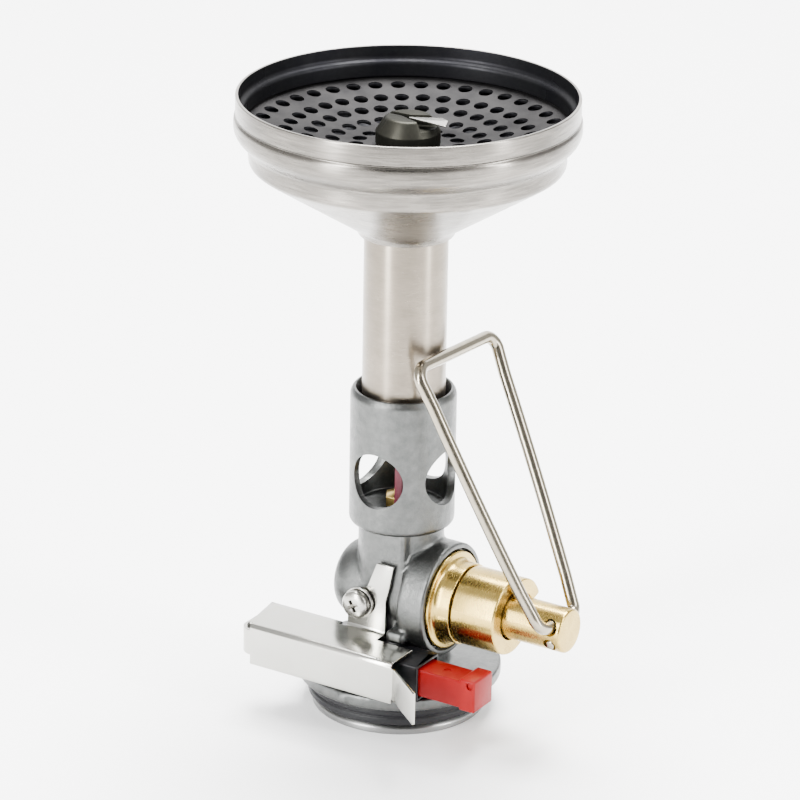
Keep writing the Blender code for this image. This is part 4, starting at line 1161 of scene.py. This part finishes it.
@dataclass
class Igniter:
    """The black piezo case, its red push button and the spring that returns it."""

    wall: float = 0.45e-3
    floor: float = 0.4e-3
    back: float = 1.2e-3
    body_back: float = -7.4e-3
    mouth_x: float = 4.4e-3
    travel: float = 4.0e-3
    play: float = 0.3e-3
    cap: float = 2.5e-3
    proud: float = 0.35e-3
    dimple_r: float = 0.55e-3
    notch_in: float = 0.75e-3
    mark_x: float = 13.6e-3
    notch_depth: float = 0.3e-3
    mark_depth: float = 0.12e-3
    coil_wire_r: float = 0.2e-3
    coil_turns: int = 5
    turn_steps: int = 24

    def build(self) -> None:
        """Build the case, the button and the spring."""
        low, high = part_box("igniter_case")
        room_low = low + Vector((self.back, self.wall, self.floor))
        self.case(low, high, room_low)
        self.button(high, room_low)
        self.spring()

    def case(self, low: Vector, high: Vector, room_low: Vector) -> None:
        """Make the case, which is wider at its mouth.

        Args:
            low: its lowest corner.
            high: its highest corner.
            room_low: lowest corner of the room inside.
        """
        case = solid(block(low, (high.x, self.body_back, high.z)))
        case = reshape(case, Joining.ADD, solid(block((self.mouth_x, low.y, low.z), high)))
        case = soften(case, 0.28e-3, 3)
        room_top = high.z - self.floor
        room = solid(block(room_low, (high.x + 1e-3, self.body_back - self.wall, room_top)))
        mouth = solid(block((self.mouth_x + self.wall, room_low.y, room_low.z),
                            (high.x + 1e-3, high.y - self.wall, room_top)))
        case = reshape(case, Joining.REMOVE, room, mouth)
        dress(soften(case, 0.05e-3, 2, 60), "igniter_case", BLACK_PLASTIC)

    def button(self, case_high: Vector, room_low: Vector) -> None:
        """Make the button: a narrow tail, a wide stem and a proud cap with a finger notch.

        Args:
            case_high: highest corner of the case.
            room_low: lowest corner of the room inside it.
        """
        low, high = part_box("igniter_button")
        stem_low = room_low.y + self.play, room_low.z + self.play
        stem_top = case_high.z - self.floor - self.play
        mouth_y = case_high.y - self.wall - self.play
        cap_x = high.x - self.cap
        wide_x = self.mouth_x + self.wall + self.travel + self.play
        tail_y = self.body_back - self.wall - self.play
        tail = solid(block((low.x, *stem_low), (wide_x + 1e-3, tail_y, stem_top), 0.15e-3))
        stem = solid(block((wide_x, *stem_low), (cap_x + 1e-3, mouth_y, stem_top), 0.22e-3, 3))
        cap = solid(block((cap_x, stem_low[0], stem_low[1] - self.proud),
                          (high.x, high.y, high.z), 0.3e-3, 3))
        button = reshape(tail, Joining.ADD, stem, cap)
        notch = drill(self.dimple_r, -stem_low[0] - self.notch_depth, -stem_low[0] + 1e-3,
                      front_axis(high.x - self.notch_in, high.z - self.notch_in), 32)
        mark = drill(self.dimple_r, stem_top - self.mark_depth, stem_top + 1e-3,
                     Matrix.Translation((self.mark_x, (stem_low[0] + mouth_y) / 2, 0)), 32)
        button = reshape(button, Joining.REMOVE, notch, mark)
        dress(button, "igniter_button", RED_PLASTIC, "button", 30)

    def spring(self) -> None:
        """Wind the return spring at the length of its CAD box."""
        low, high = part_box("return_spring")
        middle = (low + high) / 2
        radius = (high.z - low.z) / 2 - self.coil_wire_r
        start, length = low.x + self.coil_wire_r, high.x - low.x - 2 * self.coil_wire_r
        steps = self.turn_steps * self.coil_turns
        line = [Vector((start + length * step / steps,
                        middle.y + radius * cos(tau * step / self.turn_steps),
                        middle.z + radius * sin(tau * step / self.turn_steps)))
                for step in range(steps + 1)]
        spring = dress(wire_along(line, self.coil_wire_r, 3), "return_spring", WIRE, crease=60)
        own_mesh(spring)


@dataclass
class Shield:
    """The folded heat shield, with the screw and washer that hold it."""

    sheet: float = 0.4e-3
    fold_r: float = 0.75e-3
    left: float = -16.2e-3
    skew: float = -1.2e-3
    end_x: float = -15.7e-3
    end_bend_r: float = 2.0e-3
    end_back: float = -10.0e-3
    end_z: tuple[float, float] = (8.1e-3, 11.9e-3)
    notch_x: float = -5.4e-3
    strip_x: tuple[float, float] = (-4.4e-3, 1.8e-3)
    strip_tip_x: tuple[float, float] = (0.3e-3, 3.0e-3)
    shoulder_x: tuple[float, float] = (-1.2e-3, 2.25e-3)
    taper_z: float = 17.8e-3
    taper_h: float = 1.6e-3
    strip_y: float = -6.8e-3
    strip_fold_r: float = 0.5e-3
    right: float = 7.65e-3
    right_back: float = -9.0e-3
    flap_z: float = 7.4e-3
    flap_r: float = 0.6e-3
    flap_angle: float = radians(38)
    flap_length: float = 8.0e-3
    screw_x: float = -2.2e-3
    screw_z: float = 16.9e-3
    screw_head_r: float = 2.05e-3
    screw_head_h: float = 1.3e-3
    shank_r: float = 1.0e-3
    hole_r: float = 1.3e-3
    hole_reach: tuple[float, float] = (5e-3, 9e-3)
    stand_off: float = 2.3e-3
    top_gap: float = 0.7e-3
    cross_half: tuple[float, float] = (1.25e-3, 0.32e-3)
    cross_depth: float = 0.95e-3
    cross_angles: tuple[float, float] = (radians(30), radians(120))
    front_y: float = field(init=False)

    def __post_init__(self) -> None:
        """Stand the front plate off from the igniter."""
        self.front_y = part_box("igniter_case")[0].y - self.stand_off

    def build(self) -> None:
        """Build the shield and its fasteners."""
        self.folded_sheet()
        self.washer()
        self.screw()

    def grow(self, bm: Shape, edges: Sequence[Edge], move: Point) -> list[Edge]:
        """Extrude edges by a move and return the new far edges."""
        made = bmesh.ops.extrude_edge_only(bm, edges=edges)["geom"]
        verts = [item for item in made if isinstance(item, Vert)]
        bmesh.ops.translate(bm, vec=move, verts=verts)
        return [item for item in made if isinstance(item, Edge)]

    def fold(self, bm: Shape, edges: Sequence[Edge], centre: Point, axis: Point, angle: float,
             steps: int = 6) -> list[Edge]:
        """Bend the sheet on from some edges and return the bend's far edges."""
        verts = list({vert for edge in edges for vert in edge.verts})
        made = bmesh.ops.spin(bm, geom=[*edges, *verts], cent=centre, axis=axis, angle=angle,
                              steps=steps)["geom_last"]
        return [item for item in made if isinstance(item, Edge)]

    def across(self, edges: Sequence[Edge], low: float, high: float) -> list[Edge]:
        """Return the edges that lie between two places along X."""
        return [edge for edge in edges
                if all(low - SLACK < vert.co.x < high + SLACK for vert in edge.verts)]

    def upright(self, bm: Shape, x: float, low: float, high: float) -> list[Edge]:
        """Return the upright edges of the front plate at one x, between two heights."""
        return [edge for edge in bm.edges if all(
            abs(vert.co.x - x) < SLACK and low - SLACK < vert.co.z < high + SLACK
            and abs(vert.co.y - self.front_y) < SLACK for vert in edge.verts)]

    def folded_sheet(self) -> None:
        """Fold the shield from one skin, then give it its thickness."""
        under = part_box("heat_shield")[0].z
        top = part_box("igniter_case")[1].z + self.top_gap
        bm = bmesh.new()
        stations = (self.end_x, self.notch_x, *self.strip_x, self.right)
        verts = [bm.verts.new((x, self.front_y, under)) for x in stations]
        edge = [bm.edges.new(pair) for pair in zip(verts, verts[1:])]
        for height in (self.flap_z, *self.end_z, top - self.fold_r):
            edge = self.grow(bm, edge, (0, 0, height - edge[0].verts[0].co.z))
        centre = (0, self.front_y + self.fold_r, top - self.fold_r)
        edge = self.fold(bm, edge, centre, (1, 0, 0), -radians(90))
        edge = self.grow(bm, edge, (0, self.right_back - self.front_y - self.fold_r, 0))
        edge = self.across(edge, self.end_x, self.strip_x[1])
        fold_y = self.strip_y - self.strip_fold_r
        edge = self.grow(bm, edge, (0, fold_y - self.right_back, 0))
        left = self.across(edge, self.end_x, self.notch_x)
        self.grow(bm, left, (0, self.strip_y + self.sheet - fold_y, 0))
        strip = self.across(edge, *self.strip_x)
        self.raise_strip(bm, strip, fold_y, top)
        self.widen_left(bm, top)
        self.end_flange(bm)
        self.flap(bm, top)
        self.thicken(bm)

    def raise_strip(self, bm: Shape, strip: list[Edge], fold_y: float,
                    top: float) -> None:
        """Bend the strip up from the top plate and taper it.

        Args:
            bm: the shield's skin.
            strip: the edges that the strip grows from.
            fold_y: where its bend starts.
            top: height of the top plate.
        """
        centre = (0, fold_y, top + self.strip_fold_r)
        strip = self.fold(bm, strip, centre, (1, 0, 0), radians(90))
        strip = self.grow(bm, strip, (0, 0, self.taper_z - top - self.strip_fold_r))
        strip = self.grow(bm, strip, (0, 0, self.taper_h))
        middle = sum(self.strip_x) / 2
        for vert in {vert for edge in strip for vert in edge.verts}:
            vert.co.x = self.shoulder_x[vert.co.x > middle]
        tip_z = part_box("heat_shield")[1].z
        strip = self.grow(bm, strip, (0, 0, tip_z - self.taper_z - self.taper_h))
        middle = sum(self.shoulder_x) / 2
        for vert in {vert for edge in strip for vert in edge.verts}:
            vert.co.x = self.strip_tip_x[vert.co.x > middle]

    def widen_left(self, bm: Shape, top: float) -> None:
        """Carry the top plate on to its slanted left end."""
        side = [edge for edge in bm.edges if all(
            abs(vert.co.x - self.end_x) < SLACK and abs(vert.co.z - top) < SLACK
            for vert in edge.verts)]
        side = self.grow(bm, side, (0, 0, 0))
        start = self.front_y + self.fold_r
        depth = self.strip_y + self.sheet - start
        for vert in {vert for edge in side for vert in edge.verts}:
            vert.co.x = self.left + self.skew * (vert.co.y - start) / depth

    def end_flange(self, bm: Shape) -> None:
        """Bend the front plate round its left end."""
        edge = self.upright(bm, self.end_x, *self.end_z)
        centre = (self.end_x, self.front_y + self.end_bend_r, 0)
        edge = self.fold(bm, edge, centre, (0, 0, 1), -radians(90), 10)
        self.grow(bm, edge, (0, self.end_back - self.front_y - self.end_bend_r, 0))

    def flap(self, bm: Shape, top: float) -> None:
        """Bend the flap forward from the front plate's right end."""
        edge = self.upright(bm, self.right, self.flap_z, top - self.fold_r)
        centre = (self.right, self.front_y - self.flap_r, 0)
        edge = self.fold(bm, edge, centre, (0, 0, 1), -self.flap_angle, 5)
        out = Vector((cos(self.flap_angle), -sin(self.flap_angle), 0))
        self.grow(bm, edge, out * self.flap_length)

    def thicken(self, bm: Shape) -> None:
        """Turn the skin outward, give it the sheet's thickness and drill the screw's hole."""
        bmesh.ops.remove_doubles(bm, verts=bm.verts, dist=1e-6)
        bmesh.ops.recalc_face_normals(bm, faces=bm.faces)
        front = min(bm.faces, key=lambda face: (face.calc_center_median()
                                                - Vector((0, self.front_y, 10e-3))).length)
        if front.normal.y > 0:
            bmesh.ops.reverse_faces(bm, faces=bm.faces)
        item = stand("skin", pour(bm))
        wall = item.modifiers.new("wall", "SOLIDIFY")
        wall.thickness = self.sheet
        wall.offset = -1
        wall.use_even_offset = True
        item = soften(settle(item), 0.07e-3, 2, 60)
        hole = drill(self.hole_r, *self.hole_reach, front_axis(self.screw_x, self.screw_z))
        dress(reshape(item, Joining.REMOVE, hole), "heat_shield", SHEET_STEEL, crease=30)

    def washer(self) -> None:
        """Make the washer under the screw's head."""
        low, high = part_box("screw_washer")
        radius = (high.z - low.z) / 2
        dress(solid(turn([
            Corner(self.hole_r, -high.y), Corner(radius, -high.y, 0.08e-3),
            Corner(radius, -low.y, 0.12e-3), Corner(self.hole_r, -low.y, 0.08e-3)],
            front_axis(self.screw_x, self.screw_z), 64)), "screw_washer", SCREW_STEEL)

    def screw(self) -> None:
        """Make the pan-head screw with its tapered cross."""
        low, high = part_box("bracket_screw")
        place = front_axis(self.screw_x, self.screw_z)
        head = -low.y - self.screw_head_h
        screw = solid(turn([
            Corner(0, -high.y), Corner(self.shank_r, -high.y, 0.2e-3),
            Corner(self.shank_r, head),
            Corner(self.screw_head_r, head, 0.1e-3),
            Corner(self.screw_head_r, head + 0.95e-3, 0.7e-3),
            Corner(1.1e-3, head + self.screw_head_h, 0.6e-3),
            Corner(0, head + self.screw_head_h)], place, 64, 6))
        half_x, half_y = self.cross_half
        for angle in self.cross_angles:
            blade = block((-half_x, -half_y, -low.y - self.cross_depth),
                          (half_x, half_y, -low.y + 0.6e-3))
            deep = [vert for vert in blade.verts if vert.co.z < -low.y]
            bmesh.ops.scale(blade, vec=(0.35, 0.6, 1), verts=deep)
            turned = place @ Matrix.Rotation(angle, 4, "Z")
            bmesh.ops.transform(blade, matrix=turned, verts=blade.verts)
            screw = reshape(screw, Joining.REMOVE, solid(blade))
        dress(screw, "bracket_screw", SCREW_STEEL, crease=40)


def finish_carried_over() -> None:
    """Give the CAD nodes that stay as they are the finish of their slot."""
    finishes = {"rubber": RUBBER, "brass": SMALL_BRASS, "wire": WIRE, "ceramic": CERAMIC,
                "sleeving": SLEEVING}
    slots = {part["node"]: part["material_slot"] for part in frame["record"]["subparts"]}
    for name, node in frame["nodes"].items():
        if node.hide_render:
            continue
        finish = finishes[slots[name]]
        node.data.materials.clear()
        node.data.materials.append(finish.material())
        log.info("%s keeps its CAD shape, in %s", name, finish.name)


# ---------------------------------------------------------------- studio


@dataclass(frozen=True)
class Softbox:
    """An area light or a card, aimed at the object; azimuth 0 is straight in front."""

    name: str
    azimuth: float
    elevation: float
    distance: float
    width: float
    height: float
    radiance: float

    def place(self, aim: Vector) -> Matrix:
        """Return the place that turns its face towards a point."""
        around, up = radians(self.azimuth), radians(self.elevation)
        away = Vector((sin(around) * cos(up), -cos(around) * cos(up), sin(up)))
        turned = (-away).to_track_quat("-Z", "Y").to_matrix().to_4x4()
        return Matrix.Translation(aim + away * self.distance) @ turned


@dataclass
class Studio:
    """Floor, lights and camera."""

    azimuth: float = radians(31.8)
    elevation: float = 0.376
    roll: float = radians(0.9468)
    distance: float = 0.56571
    lens: float = 184.70
    aim_side: float = -0.0004928
    aim_height: float = 0.0452607
    floor_size: float = 4.0
    floor_grey: float = 0.92
    floor_rough: float = 0.6
    card_grey: float = 0.03
    card_rough: float = 0.8
    sky: float = 1.1
    softboxes: tuple[Softbox, ...] = (
        Softbox("overhead", 205, 72, 0.85, 0.5, 0.5, 64.0),
        Softbox("left_strip", -16, 20, 0.7, 0.12, 0.7, 60.0),
        Softbox("right_strip", 95, 20, 0.7, 0.10, 0.7, 38.0),
        Softbox("back_wall", 212, 22, 1.1, 1.5, 0.8, 4.0))
    card: Softbox = Softbox("camera_card", 36, 26, 0.75, 0.7, 0.8, 0.0)

    def build(self) -> None:
        """Build the stage; the dark card gives the metals something dark to mirror."""
        self.paper("floor", (self.floor_size, self.floor_size), Matrix(), self.floor_grey,
                   self.floor_rough)
        self.world()
        for box in self.softboxes:
            self.light(box)
        card = self.card
        self.paper(card.name, (card.width, card.height), card.place(self.middle),
                   self.card_grey, self.card_rough)
        self.camera()

    @property
    def middle(self) -> Vector:
        """Return the point that the softboxes and the card face."""
        return Vector((0, 0, self.aim_height))

    def paper(self, name: str, size: tuple[float, float], place: Matrix, shade: float,
              rough: float) -> None:
        """Lay or stand a plain sheet of paper.

        Args:
            name: its name.
            size: its width and its length.
            place: where it is.
            shade: its grey.
            rough: its roughness.
        """
        bm = bmesh.new()
        bmesh.ops.create_grid(bm, x_segments=1, y_segments=1, size=0.5)
        bmesh.ops.scale(bm, vec=(*size, 1), verts=bm.verts)
        item = stand(name, pour(bm, name))
        item.matrix_world = place
        paint = bpy.data.materials.new(f"{name}_paper")
        paint.use_nodes = True
        shader = paint.node_tree.nodes["Principled BSDF"]
        shader.inputs["Base Color"].default_value = (shade, shade, shade, 1)
        shader.inputs["Roughness"].default_value = rough
        item.data.materials.append(paint)

    def world(self) -> None:
        """Light the room evenly with a pale sky."""
        world = bpy.data.worlds.new("room")
        world.use_nodes = True
        back = world.node_tree.nodes["Background"]
        back.inputs["Color"].default_value = (1.0, 1.0, 1.0, 1)
        back.inputs["Strength"].default_value = self.sky
        bpy.context.scene.world = world

    def light(self, box: Softbox) -> None:
        """Hang one softbox."""
        data = bpy.data.lights.new(box.name, "AREA")
        data.shape = "RECTANGLE"
        data.size = box.width
        data.size_y = box.height
        data.energy = box.radiance * pi * box.width * box.height
        stand(box.name, data).matrix_world = box.place(self.middle)

    def camera(self) -> None:
        """Place the camera, with its small roll."""
        side = Vector((cos(self.azimuth), sin(self.azimuth), 0))
        away = Vector((-sin(self.azimuth), cos(self.azimuth), 0))
        aim = side * self.aim_side + self.middle
        forward = away * cos(self.elevation) - Vector((0, 0, sin(self.elevation)))
        level = side.cross(forward)
        right = side * cos(self.roll) + level * sin(self.roll)
        up = level * cos(self.roll) - side * sin(self.roll)
        data = bpy.data.cameras.new("camera")
        data.lens = self.lens
        data.clip_start = 0.01
        item = stand("camera", data)
        turned = Matrix((right, up, -forward)).transposed().to_4x4()
        item.matrix_world = Matrix.Translation(aim - forward * self.distance) @ turned
        bpy.context.scene.camera = item


def main() -> None:
    """Build the stage and every sub-assembly."""
    logging.basicConfig(level=logging.INFO, format="%(message)s")
    Studio().build()
    for part in (BaseRing(), Casting(), Regulator(), Handle(), BurnerHead(), Igniter(), Shield()):
        part.build()
        log.info("%s built", type(part).__name__)
    finish_carried_over()


if __name__ == "__main__":
    main()
